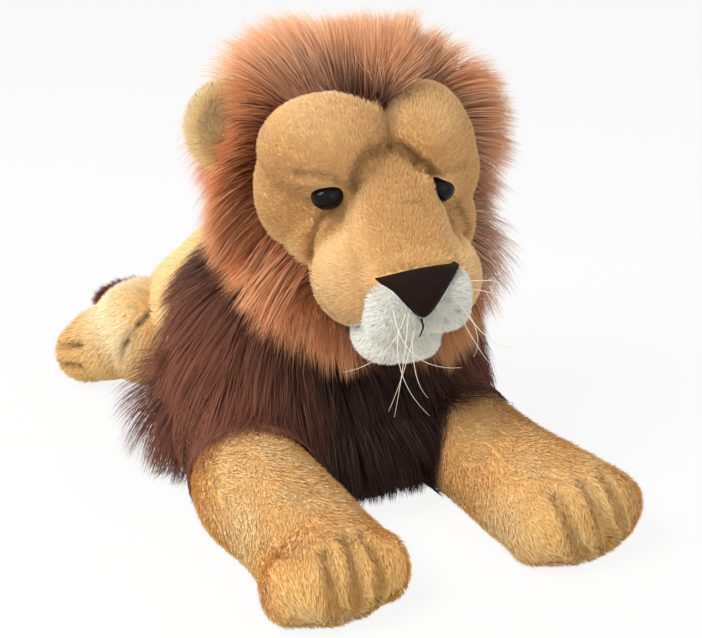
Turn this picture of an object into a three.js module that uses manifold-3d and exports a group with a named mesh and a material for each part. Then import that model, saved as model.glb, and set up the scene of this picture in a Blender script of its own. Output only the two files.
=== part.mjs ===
// Plush lion lying on its belly. Millimetres, +Z up, the lion faces -Y and its right side is -X.
// The origin lies on the floor under the belly. Tables of shares follow the named size given beside them.
import * as THREE from 'three';
import { mergeVertices } from 'three/addons/utils/BufferGeometryUtils.js';
import Module from 'manifold-3d';

const wasm = await Module();
wasm.setup();

// Shared distances
const SEAM_GAP = 0.3;
const SWING_GAP = 0.8;
const SWEEP_SLACK = 3.5;
const PILE_THICK = 8;
const FLOOR_CUT = 0.5;

// Torso
const TORSO_LENGTH = 428;
const TORSO_WIDTH = 206;
const TORSO_HEIGHT = 214;
const RUMP_CAP = 34;
const CHEST_CAP = 34;

// Head, as a skull ball with puffs, and the pile of the mane round it
const SKULL_RADIUS = 86;
const MANE_DEPTH = 36;
const MANE_BULGE = 15;
const HEAD_TURN_DEGREES = -8;
const MUZZLE_LENGTH = 86;
const MUZZLE_WIDTH = 86;
const MUZZLE_HEIGHT = 90;
const MUZZLE_CAP = 16;
const MUZZLE_ASIDE = 6;

// Stuffed neck between the skull and the torso
const NECK_INNER_RADIUS = 62;
const NECK_HALF_DEGREES = 24;
const NECK_NOD_DEGREES = 14;

// Front legs
const SHOULDER_RADIUS = 58;
const FRONT_LEG_LENGTH = 234;
const FRONT_LEG_WIDTH = 110;
const FRONT_LEG_HEIGHT = 96;
const PAW_CAP = 30;
const TOE_WIDTH = 36;
const TOE_DEPTH = 54;
const TOE_HEIGHT = 62;

// Hind legs
const HIP_RADIUS = 58;
const FOOT_LENGTH = 92;
const FOOT_WIDTH = 88;
const FOOT_HEIGHT = 82;
const FOOT_CAP = 30;
const LEG_ROOT_CAP = 20;
const SOLE_THICK = 5;
const SOLE_INSET = 3;

// Tail
const TAIL_ROOT_RADIUS = 22;
const TAIL_RADIUS = 13;
const TAIL_LENGTH = 84;
const TUFT_RADIUS = 27;
const TUFT_LENGTH = 56;
const TUFT_CAP = 16;

// Ears
const EAR_WIDTH = 66;
const EAR_HEIGHT = 72;
const EAR_THICK = 22;
const EAR_LINING = 4;

// Eyes
const EYE_RADIUS = 12.5;
const EYE_SINK = 4;
const SHANK_RADIUS = 3;
const SHANK_LENGTH = 17;
const WASHER_RADIUS = 10;
const WASHER_THICK = 2;
const CLOTH_UNDER_EYE = 7;

// Nose, muzzle pads, chin and whiskers
const NOSE_WIDTH = 78;
const NOSE_HEIGHT = 44;
const NOSE_DEPTH = 44;
const PAD_WIDTH = 50;
const PAD_HEIGHT = 60;
const PAD_DEPTH = 58;
const CHIN_WIDTH = 54;
const CHIN_HEIGHT = 34;
const CHIN_DEPTH = 60;
const WHISKER_RADIUS = 0.45;
const WHISKER_LENGTH = 76;
const WHISKER_ROOT = 4;

// Brown mane over chest and shoulders
const BIB_LENGTH = 240;
const BIB_WIDTH = 296;
const BIB_HEIGHT = 240;
const BIB_BACK_CAP = 26;
const BIB_FRONT_CAP = 18;

// Ranges that clearances are cut for, in degrees, low and high
const TURN_RANGE_DEGREES = [-8, 24];
const NOD_RANGE_DEGREES = [-10, 4];
const FRONT_RIGHT_RANGE_DEGREES = [-18, 6];
const FRONT_LEFT_RANGE_DEGREES = [-6, 18];
const HIND_RIGHT_RANGE_DEGREES = [-6, 12];
const HIND_LEFT_RANGE_DEGREES = [-12, 6];
const TAIL_RANGE_DEGREES = [-25, 25];
const EAR_RANGE_DEGREES = [-10, 10];

// How finely round forms are faceted
const LOFT_SIDES = 12;
const LOFT_STEPS = 2;
const BALL_SIDES = 14;
const INNER_SIDES = 8;
const SKULL_SIDES = 18;
const PUFF_SIDES = 12;
const SCOOP_SIDES = 22;
const SMALL_SIDES = 10;
const SOLE_SIDES = 8;
const TOE_SIDES = 8;
const NECK_SIDES = 40;
const SWEEP_SIDES = 8;
const CAP_STEPS = 3;
const WHISKER_SIDES = 3;

// Places as shares of the torso's length, width and height: along, out, up
const HEAD_SHARES = { along: -0.154, out: 0.117, up: 1.238 };
const SHOULDER_SHARES = {
  right: { along: -0.215, out: -0.456, up: 0.266 },
  left: { along: -0.224, out: 0.408, up: 0.266 },
};
const HIP_SHARES = { along: 0.42, out: 0.44, up: 0.262 };
const TAIL_SHARES = { along: 0.626, out: -0.01, up: 0.206 };

// Rows of the torso: along, out, spine height, half width, top, lift of the underside
const TORSO_SHARES = [
  [0.57, 0, 0.31, 0.32, 0.54, 0.03],
  [0.467, 0, 0.336, 0.437, 0.636, 0],
  [0.327, 0, 0.355, 0.476, 0.748, 0],
  [0.187, 0, 0.383, 0.485, 0.87, 0],
  [0.047, 0, 0.411, 0.495, 0.972, 0],
  [-0.117, 0, 0.4, 0.5, 0.94, 0],
  [-0.232, 0, 0.35, 0.4, 0.68, 0.01],
];

// Rows of a front leg, from the shoulder: along, out, spine height, half width, top, lift
const FRONT_RIGHT_SHARES = [
  [-0.034, -0.036, 0.54, 0.436, 1, 0],
  [-0.288, -0.109, 0.5, 0.445, 0.938, 0],
  [-0.534, -0.127, 0.448, 0.445, 0.833, 0],
  [-0.71, -0.127, 0.406, 0.48, 0.76, 0],
  [-0.86, -0.109, 0.375, 0.53, 0.72, 0],
];
const FRONT_LEFT_SHARES = [
  [-0.034, 0.018, 0.54, 0.436, 1, 0],
  [-0.271, 0.02, 0.49, 0.43, 0.9, 0],
  [-0.517, 0.07, 0.43, 0.44, 0.81, 0],
  [-0.72, 0.14, 0.4, 0.51, 0.78, 0],
  [-0.88, 0.2, 0.375, 0.55, 0.74, 0],
];

// Toes of the front paws, inner to outer or outer to inner along X: across as a share of the paw's half width,
// ahead as a share of the paw's dome, up as a share of the leg's height
const TOE_SHARES = {
  right: [[-0.67, 0.1, 0.32], [-0.12, -0.3, 0.34], [0.28, -0.3, 0.34], [0.72, 0, 0.32]],
  left: [[-0.76, 0.1, 0.32], [-0.26, -0.25, 0.34], [0.16, -0.25, 0.34], [0.6, 0, 0.32]],
};

// Rows of a hind foot, from the hip: along, out, spine height, half width, top, lift
const FOOT_SHARES = [
  [0.1, 0, 0.55, 0.47, 0.94, 0],
  [0.2, 0.34, 0.513, 0.5, 0.96, 0],
  [0.3, 0.62, 0.474, 0.5, 0.92, 0],
];

// Rows of the tail and its tuft, from the tail's root: along, out and spine height, then thickness
const TAIL_ROW_SHARES = [
  [0, 0, -0.05, 1],
  [0.38, -0.1, -0.24, 0.92],
  [0.64, -0.31, -0.36, 0.92],
  [0.79, -0.52, -0.36, 0.92],
];
const TUFT_ROW_SHARES = [
  [0, 0, 0.05, 0.6],
  [0.09, -0.3, 0.26, 0.96],
  [0.143, -0.62, 0.28, 0.8],
];

// Face puffs as shares of the skull's radius: across, ahead, up, then the three half sizes
// The jaw, and the room that the snout turns in, are shares of the muzzle's length
const FACE_SHARES = [0, -0.4, 0, 1.1, 0.5, 0.93];
const BROW_SHARES = [0.45, -0.52, 0.42, 0.53, 0.5, 0.46];
const CHEEK_SHARES = [0.5, -0.46, -0.46, 0.54, 0.56, 0.6];
const JAW_SHARES = [0, -0.93, -0.91, 0.51, 0.67, 0.35];
const EYE_SHARES = [0.535, -0.85, 0];
const EAR_SHARES = [1.22, 0.12, 0.58];

// Places of nose, pads and chin as shares of the muzzle's length
const NOSE_SHARES = [0, -1.535, -0.65];
const PAD_SHARES = [0.26, -1.42, -0.87];
const CHIN_SHARES = [0, -1.28, -1.22];
const SNOUT_ROOM_SHARES = [0, -1.36, -0.98, 0.64, 0.54, 0.58];

// Rows of the muzzle: ahead of the skull's centre, height, half width, up, down
const MUZZLE_SHARES = [
  [-0.465, -0.11, 0.64, 0.51, 0.78],
  [-0.977, -0.38, 0.56, 0.49, 0.74],
  [-1.302, -0.555, 0.53, 0.356, 0.64],
  [-1.488, -0.667, 0.49, 0.278, 0.54],
];

// Opening of the mane for the face, as shares of the skull's radius: ahead, height, half width, up, down
const FACE_OPENING_SHARES = [
  [-0.36, -0.03, 1.03, 1, 1],
  [-0.814, -0.05, 1.18, 1.12, 1.12],
  [-1.86, -0.1, 1.5, 1.4, 1.4],
];
const BULGE_SHARES = [0, -0.06, 0.21];

// Rows of the brown mane: along, out, spine height, half width, top, lift
const BIB_SHARES = [
  [0.217, 0, 0.583, 0.246, 0.9, 0.183],
  [0.042, 0, 0.583, 0.43, 0.967, 0.1],
  [-0.208, 0, 0.542, 0.493, 0.975, 0.033],
  [-0.44, 0, 0.44, 0.485, 0.86, 0],
  [-0.55, 0, 0.32, 0.44, 0.64, 0],
  [-0.62, 0, 0.22, 0.34, 0.46, 0],
];

// Where the brown mane spreads at the floor, as shares of its width, length and height, then the half sizes
const SKIRT_SHARES = [0.365, -0.02, 0.2, 0.15, 0.28, 0.3];

// Whiskers: side of the head, place on the pad (across, up), then the way out, ahead and down at half and full length
const WHISKER_SHARES = [
  [-1, -0.1, 0.05, 0.34, -0.3, -0.26, 0.78, -0.36, -0.38],
  [-1, -0.62, -0.15, 0.22, -0.26, -0.4, 0.42, -0.32, -0.86],
  [-1, -0.5, -0.5, 0.06, -0.24, -0.38, -0.06, -0.3, -0.66],
  [-1, -0.2, 0, 0.16, -0.28, -0.42, 0.26, -0.32, -0.95],
  [-1, 0.1, -0.3, 0.06, -0.26, -0.42, -0.2, -0.36, -0.86],
  [-1, 0.3, 0.14, -0.06, -0.42, -0.32, -0.5, -0.56, -0.46],
  [1, 0.62, -0.1, 0.1, -0.12, -0.3, 0.06, -0.14, -0.52],
  [1, 0.5, -0.42, 0.12, -0.18, -0.28, 0.24, -0.24, -0.46],
  [1, 0.34, 0.1, 0.2, -0.26, -0.3, 0.44, -0.36, -0.42],
  [1, 0.72, 0.36, 0.3, -0.1, -0.04, 0.56, -0.12, -0.14],
  [1, 0.72, 0.5, 0.28, -0.16, 0.06, 0.52, -0.24, 0.02],
];

const PAINT = {
  gold: 0xe0aa66,
  face: 0xd3a468,
  rust: 0xb0683f,
  brown: 0x55332c,
  white: 0xe4e2da,
  nose: 0x3a2120,
  eye: 0x141012,
  filling: 0xf2f0ea,
  sole: 0xd8c097,
  whisker: 0xefe6cf,
  washer: 0xdcdcd8,
};

const degrees = THREE.MathUtils.degToRad;
const UP = new THREE.Vector3(0, 0, 1);
const ACROSS = new THREE.Vector3(1, 0, 0);

// A place written in shares of the torso
function onTorso(shares, way = 1) {
  return new THREE.Vector3(shares.out * way * TORSO_WIDTH, shares.along * TORSO_LENGTH, shares.up * TORSO_HEIGHT);
}

// A place written in shares of the skull's radius or of the muzzle's length, in the head's own frame
function onHead(shares, way, unit) {
  return new THREE.Vector3(shares[0] * way, shares[1], shares[2]).multiplyScalar(unit);
}
const onSkull = (shares, way = 1) => onHead(shares, way, SKULL_RADIUS);
const onMuzzle = (shares, way = 1) => onHead(shares, way, MUZZLE_LENGTH).add(new THREE.Vector3(MUZZLE_ASIDE, 0, 0));

const headPlace = onTorso(HEAD_SHARES);
const headMatrix = new THREE.Matrix4().makeRotationZ(degrees(HEAD_TURN_DEGREES)).setPosition(headPlace);
const headAcross = ACROSS.clone().applyAxisAngle(UP, degrees(HEAD_TURN_DEGREES));

function signedVolume(points, triangles) {
  let total = 0;
  const a = new THREE.Vector3();
  const b = new THREE.Vector3();
  const c = new THREE.Vector3();
  for (let i = 0; i < triangles.length; i += 3) {
    a.fromArray(points, triangles[i] * 3);
    b.fromArray(points, triangles[i + 1] * 3);
    c.fromArray(points, triangles[i + 2] * 3);
    total += a.dot(b.cross(c));
  }
  return total;
}

function solidFromArrays(points, triangles) {
  const turned = Array.from(triangles);
  if (signedVolume(points, turned) < 0) {
    for (let i = 0; i < turned.length; i += 3) {
      [turned[i + 1], turned[i + 2]] = [turned[i + 2], turned[i + 1]];
    }
  }
  return new wasm.Manifold(new wasm.Mesh({
    numProp: 3,
    vertProperties: new Float32Array(points),
    triVerts: new Uint32Array(turned),
  }));
}

function solidFromGeometry(geometry, matrix = null) {
  const plain = new THREE.BufferGeometry();
  plain.setAttribute('position', geometry.getAttribute('position').clone());
  if (geometry.index) {
    plain.setIndex(geometry.index.clone());
  }
  if (matrix) {
    plain.applyMatrix4(matrix);
  }
  const joined = mergeVertices(plain, 1e-4);
  return solidFromArrays(joined.getAttribute('position').array, joined.index.array);
}

function meshPoints(mesh) {
  const points = [];
  for (let i = 0; i < mesh.numVert; i += 1) {
    for (let k = 0; k < 3; k += 1) {
      points.push(mesh.vertProperties[i * mesh.numProp + k]);
    }
  }
  return points;
}

function moved(solid, matrix) {
  const mesh = solid.getMesh();
  const points = meshPoints(mesh);
  const corner = new THREE.Vector3();
  for (let i = 0; i < points.length; i += 3) {
    corner.fromArray(points, i).applyMatrix4(matrix).toArray(points, i);
  }
  return solidFromArrays(points, mesh.triVerts);
}

function union(solids) {
  return solids.reduce((all, solid) => all.add(solid));
}

function cutBy(solid, cutters) {
  return cutters.reduce((left, cutter) => left.subtract(cutter), solid);
}

function turnAbout(pivot, axis, angle) {
  return new THREE.Matrix4().makeTranslation(pivot)
    .multiply(new THREE.Matrix4().makeRotationAxis(axis, degrees(angle)))
    .multiply(new THREE.Matrix4().makeTranslation(pivot.clone().negate()));
}

// Every place that a solid passes through as it turns over a range
function swept(solid, pivot, axis, range, steps = 4) {
  const copies = [solid];
  for (let i = 0; i <= steps; i += 1) {
    copies.push(moved(solid, turnAbout(pivot, axis, THREE.MathUtils.lerp(range[0], range[1], i / steps))));
  }
  return union(copies);
}

// Ellipsoid with its poles on Z, grown or shrunk all over
function puff(centre, half, grow = 0, sides = BALL_SIDES) {
  const size = new THREE.Matrix4().makeScale(half.x + grow, half.y + grow, half.z + grow);
  const upright = new THREE.Matrix4().makeRotationX(Math.PI / 2);
  return solidFromGeometry(
    new THREE.SphereGeometry(1, sides, sides / 2),
    new THREE.Matrix4().makeTranslation(centre).multiply(size).multiply(upright),
  );
}

function sphere(centre, radius, sides = BALL_SIDES) {
  return puff(centre, new THREE.Vector3(radius, radius, radius), 0, sides);
}

// Radius of a ball, or of a socket, whose flats clear a ball that turns inside it
function clearOfBall(radius, sides, ways) {
  return (radius + SEAM_GAP) / Math.cos(Math.PI / sides) ** ways;
}

// Socket that a ball turns in about Z, with its facets half a step on from the ball's
function socket(centre, radius, sides = BALL_SIDES) {
  const ball = sphere(centre, clearOfBall(radius, sides, 1), sides);
  return moved(ball, turnAbout(centre, UP, 180 / sides));
}

// Straight post or cone from one distance to another along a direction
function post(start, direction, from, to, radiusFrom, radiusTo, sides = 16) {
  const along = direction.clone().normalize();
  const geometry = new THREE.CylinderGeometry(radiusTo, radiusFrom, to - from, sides);
  const turn = new THREE.Quaternion().setFromUnitVectors(new THREE.Vector3(0, 1, 0), along);
  const middle = start.clone().addScaledVector(along, (from + to) / 2);
  return solidFromGeometry(geometry, new THREE.Matrix4().compose(middle, turn, new THREE.Vector3(1, 1, 1)));
}

function slab(low, high) {
  const size = high.clone().sub(low);
  const middle = high.clone().add(low).multiplyScalar(0.5);
  return solidFromGeometry(new THREE.BoxGeometry(size.x, size.y, size.z), new THREE.Matrix4().makeTranslation(middle));
}

function catmull(a, b, c, d, t) {
  return 0.5 * (2 * b + (c - a) * t + (2 * a - 5 * b + 4 * c - d) * t * t + (3 * b - a - 3 * c + d) * t * t * t);
}

// Loft over rows of { at, half, up, down }, with a dome at each end, grown or shrunk all over
function loft(rows, startCap, endCap, grow = 0, sides = LOFT_SIDES, steps = LOFT_STEPS, fullness = 2.2) {
  const lines = rows.map((row) => [...row.at.toArray(), row.half, row.up, row.down]);
  const fine = [];
  lines.slice(0, -1).forEach((line, i) => {
    const before = lines[Math.max(0, i - 1)];
    const after = lines[Math.min(lines.length - 1, i + 2)];
    for (let s = 0; s < steps; s += 1) {
      fine.push(line.map((v, k) => catmull(before[k], v, lines[i + 1][k], after[k], s / steps)));
    }
  });
  fine.push(lines[lines.length - 1]);
  const centres = fine.map((line) => new THREE.Vector3().fromArray(line));
  const tangents = centres.map((centre, i) => {
    const from = centres[Math.max(0, i - 1)];
    const to = centres[Math.min(centres.length - 1, i + 1)];
    return to.clone().sub(from).normalize();
  });
  const points = [];
  const addRing = (centre, tangent, line, scale) => {
    const side = tangent.clone().cross(UP).normalize();
    const above = side.clone().cross(tangent).normalize();
    for (let k = 0; k < sides; k += 1) {
      const angle = (2 * Math.PI * k) / sides;
      const c = Math.cos(angle);
      const s = Math.sin(angle);
      const reach = s > 0 ? line[4] : line[5];
      const u = Math.sign(c) * Math.abs(c) ** (2 / fullness) * (line[3] + grow) * scale;
      const v = Math.sign(s) * Math.abs(s) ** (2 / fullness) * (reach + grow) * scale;
      points.push(...centre.clone().addScaledVector(side, u).addScaledVector(above, v).toArray());
    }
  };
  const last = fine.length - 1;
  const capSteps = steps > 1 ? CAP_STEPS : CAP_STEPS - 1;
  for (let k = capSteps - 1; k >= 1; k -= 1) {
    const bend = (Math.PI / 2) * (k / capSteps);
    const out = centres[0].clone().addScaledVector(tangents[0], -(startCap + grow) * Math.sin(bend));
    addRing(out, tangents[0], fine[0], Math.cos(bend));
  }
  fine.forEach((line, i) => addRing(centres[i], tangents[i], line, 1));
  for (let k = 1; k < capSteps; k += 1) {
    const bend = (Math.PI / 2) * (k / capSteps);
    const out = centres[last].clone().addScaledVector(tangents[last], (endCap + grow) * Math.sin(bend));
    addRing(out, tangents[last], fine[last], Math.cos(bend));
  }
  const rings = fine.length + 2 * (capSteps - 1);
  points.push(...centres[0].clone().addScaledVector(tangents[0], -(startCap + grow)).toArray());
  points.push(...centres[last].clone().addScaledVector(tangents[last], endCap + grow).toArray());
  const triangles = [];
  for (let i = 0; i < rings - 1; i += 1) {
    for (let k = 0; k < sides; k += 1) {
      const here = i * sides + k;
      const next = i * sides + ((k + 1) % sides);
      triangles.push(here, next, next + sides, here, next + sides, here + sides);
    }
  }
  const first = rings * sides;
  for (let k = 0; k < sides; k += 1) {
    const next = (k + 1) % sides;
    triangles.push(first, next, k);
    triangles.push(first + 1, (rings - 1) * sides + k, (rings - 1) * sides + next);
  }
  return solidFromArrays(points, triangles);
}

// Rows that stand on the floor: the underside keeps its lift, and a row with none is cut flat at the floor
function floorRows(shares, origin, length, width, height, way = 1) {
  return shares.map(([along, across, spine, half, top, lift]) => {
    const at = new THREE.Vector3(origin.x + way * across * width, origin.y + along * length, spine * height);
    const sink = lift > 0 ? 0 : FLOOR_CUT;
    return { at, half: half * width, up: (top - spine) * height, down: (spine - lift) * height + sink };
  });
}

const overall = TORSO_LENGTH + TORSO_HEIGHT + SKULL_RADIUS;
const underFloor = slab(new THREE.Vector3(-overall, -overall, -overall), new THREE.Vector3(overall, overall, 0));

// Forms
const torsoRows = floorRows(TORSO_SHARES, new THREE.Vector3(), TORSO_LENGTH, TORSO_WIDTH, TORSO_HEIGHT);
const torsoForm = (grow) => loft(torsoRows, RUMP_CAP, CHEST_CAP, grow, 16, LOFT_STEPS, 2.3);
const torsoInner = (grow) => loft(torsoRows, RUMP_CAP, CHEST_CAP, grow, INNER_SIDES, 1);
const toeHalf = new THREE.Vector3(TOE_WIDTH, TOE_DEPTH, TOE_HEIGHT).multiplyScalar(0.5);

function limb(rows, root, radius, cap, range, toes = []) {
  return {
    root,
    form: (grow) => union([sphere(root, radius + grow), loft(rows, LEG_ROOT_CAP, cap, grow),
      ...toes.map((at) => puff(at, toeHalf, grow, TOE_SIDES))]),
    inner: (grow) => sphere(root, radius + grow, INNER_SIDES)
      .add(loft(rows, LEG_ROOT_CAP, cap, grow, INNER_SIDES, 1)),
    sweep: swept(loft(rows, LEG_ROOT_CAP, cap, SWING_GAP + SWEEP_SLACK, SWEEP_SIDES, 1), root, UP, range, 2)
      .add(socket(root, radius)),
    fillingSweep: swept(loft(rows, LEG_ROOT_CAP, cap, SWEEP_SLACK * 2, SWEEP_SIDES, 1), root, UP, range, 1)
      .add(sphere(root, radius + SWEEP_SLACK * 2, SMALL_SIDES)),
    rows,
    radius,
  };
}

function frontLimb(shares, place, range, toeShares) {
  const root = onTorso(place);
  const rows = floorRows(shares, root, FRONT_LEG_LENGTH, FRONT_LEG_WIDTH, FRONT_LEG_HEIGHT);
  const paw = rows[rows.length - 1];
  const toes = toeShares.map(([across, ahead, up]) => new THREE.Vector3(
    paw.at.x + across * paw.half, paw.at.y + ahead * PAW_CAP, up * FRONT_LEG_HEIGHT,
  ));
  return limb(rows, root, SHOULDER_RADIUS, PAW_CAP, range, toes);
}

function hindLimb(way, range) {
  const root = onTorso(HIP_SHARES, way);
  const rows = floorRows(FOOT_SHARES, root, FOOT_LENGTH, FOOT_WIDTH, FOOT_HEIGHT, way);
  return limb(rows, root, HIP_RADIUS, FOOT_CAP, range);
}

const limbs = {
  front_leg_right: frontLimb(FRONT_RIGHT_SHARES, SHOULDER_SHARES.right, FRONT_RIGHT_RANGE_DEGREES, TOE_SHARES.right),
  front_leg_left: frontLimb(FRONT_LEFT_SHARES, SHOULDER_SHARES.left, FRONT_LEFT_RANGE_DEGREES, TOE_SHARES.left),
  hind_leg_right: hindLimb(-1, HIND_RIGHT_RANGE_DEGREES),
  hind_leg_left: hindLimb(1, HIND_LEFT_RANGE_DEGREES),
};

// Tail and tuft
const tailRoot = onTorso(TAIL_SHARES);
function tailRows(shares, from, length, radius) {
  return shares.map(([along, out, up, thick]) => ({
    at: from.clone().add(new THREE.Vector3(out, along, up).multiplyScalar(length)),
    half: thick * radius,
    up: thick * radius,
    down: thick * radius,
  }));
}
const tailLine = tailRows(TAIL_ROW_SHARES, tailRoot, TAIL_LENGTH, TAIL_RADIUS);
const tailEnd = tailLine[tailLine.length - 1].at.clone();
const tailLoft = (grow, sides) => loft(tailLine, TAIL_RADIUS / 2, TAIL_RADIUS / 2, grow, sides, 1);
const tailForm = (grow) => sphere(tailRoot, TAIL_ROOT_RADIUS + grow, SMALL_SIDES).add(tailLoft(grow, 8));
const tuftLine = tailRows(TUFT_ROW_SHARES, tailEnd, TUFT_LENGTH, TUFT_RADIUS);
const tuftForm = loft(tuftLine, TAIL_RADIUS, TUFT_CAP, 0, 10);
const tailSweep = swept(tailLoft(SWING_GAP + SWEEP_SLACK, 8), tailRoot, UP, TAIL_RANGE_DEGREES, 2)
  .add(socket(tailRoot, TAIL_ROOT_RADIUS, SMALL_SIDES));

// Head
function headPuff(at, shares, grow, sides, unit) {
  const half = new THREE.Vector3(shares[3], shares[4], shares[5]).multiplyScalar(unit);
  return puff(at, half, grow, sides);
}
function skullPuff(shares, way, grow, sides = PUFF_SIDES) {
  return headPuff(onSkull(shares, way), shares, grow, sides, SKULL_RADIUS);
}
const muzzlePuff = (shares, grow, sides = PUFF_SIDES) => headPuff(onMuzzle(shares), shares, grow, sides, MUZZLE_LENGTH);

const muzzleRows = MUZZLE_SHARES.map(([ahead, up, half, above, below]) => ({
  at: onMuzzle([0, ahead, up]),
  half: half * MUZZLE_WIDTH,
  up: above * MUZZLE_HEIGHT,
  down: below * MUZZLE_HEIGHT,
}));

function faceForm(grow, sides = PUFF_SIDES) {
  return union([
    skullPuff(FACE_SHARES, 1, grow, sides),
    skullPuff(BROW_SHARES, -1, grow, sides),
    skullPuff(BROW_SHARES, 1, grow, sides),
    skullPuff(CHEEK_SHARES, -1, grow, sides),
    skullPuff(CHEEK_SHARES, 1, grow, sides),
    muzzlePuff(JAW_SHARES, grow, sides),
    loft(muzzleRows, MUZZLE_CAP, MUZZLE_CAP, grow, sides, sides > INNER_SIDES ? LOFT_STEPS : 1),
  ]);
}

const inHead = (solid) => moved(solid, headMatrix);
const headForm = (grow) => inHead(sphere(new THREE.Vector3(), SKULL_RADIUS + grow, SKULL_SIDES).add(faceForm(grow)));
const headInner = (grow) => inHead(sphere(new THREE.Vector3(), SKULL_RADIUS + grow, SMALL_SIDES)
  .add(loft(muzzleRows, MUZZLE_CAP, MUZZLE_CAP, grow, SMALL_SIDES, 1)));
const headClear = headForm(SEAM_GAP);

const maneRadius = SKULL_RADIUS + MANE_DEPTH;
const scoop = sphere(headPlace, clearOfBall(maneRadius, SCOOP_SIDES, 2), SCOOP_SIDES);

// Neck, down and back from the skull
const neckShares = new THREE.Vector3(-0.1, 0.58, -0.81).normalize();
const neckReach = maneRadius * 1.4;
function neckCone(halfDegrees, reach) {
  return post(headPlace, neckShares, 0, reach, 0, reach * Math.tan(degrees(halfDegrees)), SMALL_SIDES);
}
const neckRoom = neckCone(NECK_HALF_DEGREES + NECK_NOD_DEGREES, neckReach)
  .subtract(sphere(headPlace, NECK_INNER_RADIUS, SMALL_SIDES * 2));

// Eyes: each a dome on the face with a shank through the cloth and a washer behind it
function eyeParts(way, grow) {
  const at = onSkull(EYE_SHARES, way);
  const inward = at.clone().negate();
  const behind = EYE_RADIUS * 3;
  const dome = sphere(at, EYE_RADIUS + grow, SMALL_SIDES)
    .subtract(post(at, inward, EYE_SINK + grow, behind, EYE_RADIUS * 2, EYE_RADIUS * 2, SWEEP_SIDES));
  const shank = post(at, inward, 0, EYE_SINK + SHANK_LENGTH + grow, SHANK_RADIUS + grow, SHANK_RADIUS + grow, SWEEP_SIDES);
  const from = EYE_SINK + CLOTH_UNDER_EYE;
  const wide = WASHER_RADIUS + grow;
  const around = EYE_RADIUS * 1.1;
  const washer = post(at, inward, from - grow, from + WASHER_THICK + grow, wide, wide, PUFF_SIDES);
  const hole = SHANK_RADIUS + SEAM_GAP;
  return {
    eye: inHead(dome.add(shank)),
    washer: inHead(washer.subtract(post(at, inward, 0, behind, hole, hole, SWEEP_SIDES))),
    room: inHead(union([dome, shank, washer])),
    fillingRoom: inHead(post(at, inward, -EYE_RADIUS, from + SHANK_LENGTH, around, around, SMALL_SIDES)),
  };
}

const eyes = { right: eyeParts(-1, 0), left: eyeParts(1, 0) };
const eyeRooms = [eyeParts(-1, SEAM_GAP), eyeParts(1, SEAM_GAP)];

// Nose, muzzle pads and chin seat on the muzzle
const noseHalf = new THREE.Vector3(NOSE_WIDTH, NOSE_DEPTH, NOSE_HEIGHT).multiplyScalar(0.5);
const padHalf = new THREE.Vector3(PAD_WIDTH, PAD_DEPTH, PAD_HEIGHT).multiplyScalar(0.5);
const chinHalf = new THREE.Vector3(CHIN_WIDTH, CHIN_DEPTH, CHIN_HEIGHT).multiplyScalar(0.5);
const noseForm = (grow) => puff(onMuzzle(NOSE_SHARES), noseHalf, grow, PUFF_SIDES);
const padForm = (way, grow) => puff(onMuzzle(PAD_SHARES, way), padHalf, grow, PUFF_SIDES);
const chinForm = (grow) => puff(onMuzzle(CHIN_SHARES), chinHalf, grow, PUFF_SIDES);
const beyond = new THREE.Vector3(overall, overall, overall);

function halfSpace(way) {
  const edge = MUZZLE_ASIDE + (way * SEAM_GAP) / 2;
  const low = beyond.clone().negate();
  const high = beyond.clone();
  if (way > 0) {
    low.x = edge;
  } else {
    high.x = edge;
  }
  return slab(low, high);
}

const pad = (way) => inHead(padForm(way, 0).intersect(halfSpace(way)).subtract(noseForm(SEAM_GAP))).subtract(headClear);

// Ears: a cupped disc, its lining cloth in front of its back cloth
const earHalf = new THREE.Vector3(EAR_WIDTH, EAR_THICK, EAR_HEIGHT).multiplyScalar(0.5);
function earCup(grow) {
  const cupHalf = new THREE.Vector3(earHalf.x, EAR_THICK, earHalf.z).multiplyScalar(0.8);
  return puff(new THREE.Vector3(0, -EAR_THICK, 0), cupHalf, -grow, SMALL_SIDES);
}
function ear(way) {
  const at = onSkull(EAR_SHARES, way);
  const place = headMatrix.clone().multiply(new THREE.Matrix4().makeTranslation(at));
  const disc = puff(new THREE.Vector3(), earHalf, 0, SMALL_SIDES);
  const nearSkull = moved(sphere(new THREE.Vector3(), SKULL_RADIUS + SWING_GAP, SKULL_SIDES),
    new THREE.Matrix4().makeTranslation(at.clone().negate()));
  const whole = cutBy(disc, [earCup(0), nearSkull]);
  const travel = Math.sin(degrees(EAR_RANGE_DEGREES[1])) * EAR_WIDTH;
  const roomHalf = earHalf.clone().add(new THREE.Vector3(travel / 3, travel * 1.5, travel / 3));
  const room = puff(new THREE.Vector3(), roomHalf, SWING_GAP, PUFF_SIDES);
  return {
    back: moved(whole.subtract(earCup(-EAR_LINING - SEAM_GAP)), place),
    lining: moved(whole.intersect(earCup(-EAR_LINING)), place),
    room: moved(room, place),
  };
}
const ears = { right: ear(-1), left: ear(1) };

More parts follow.
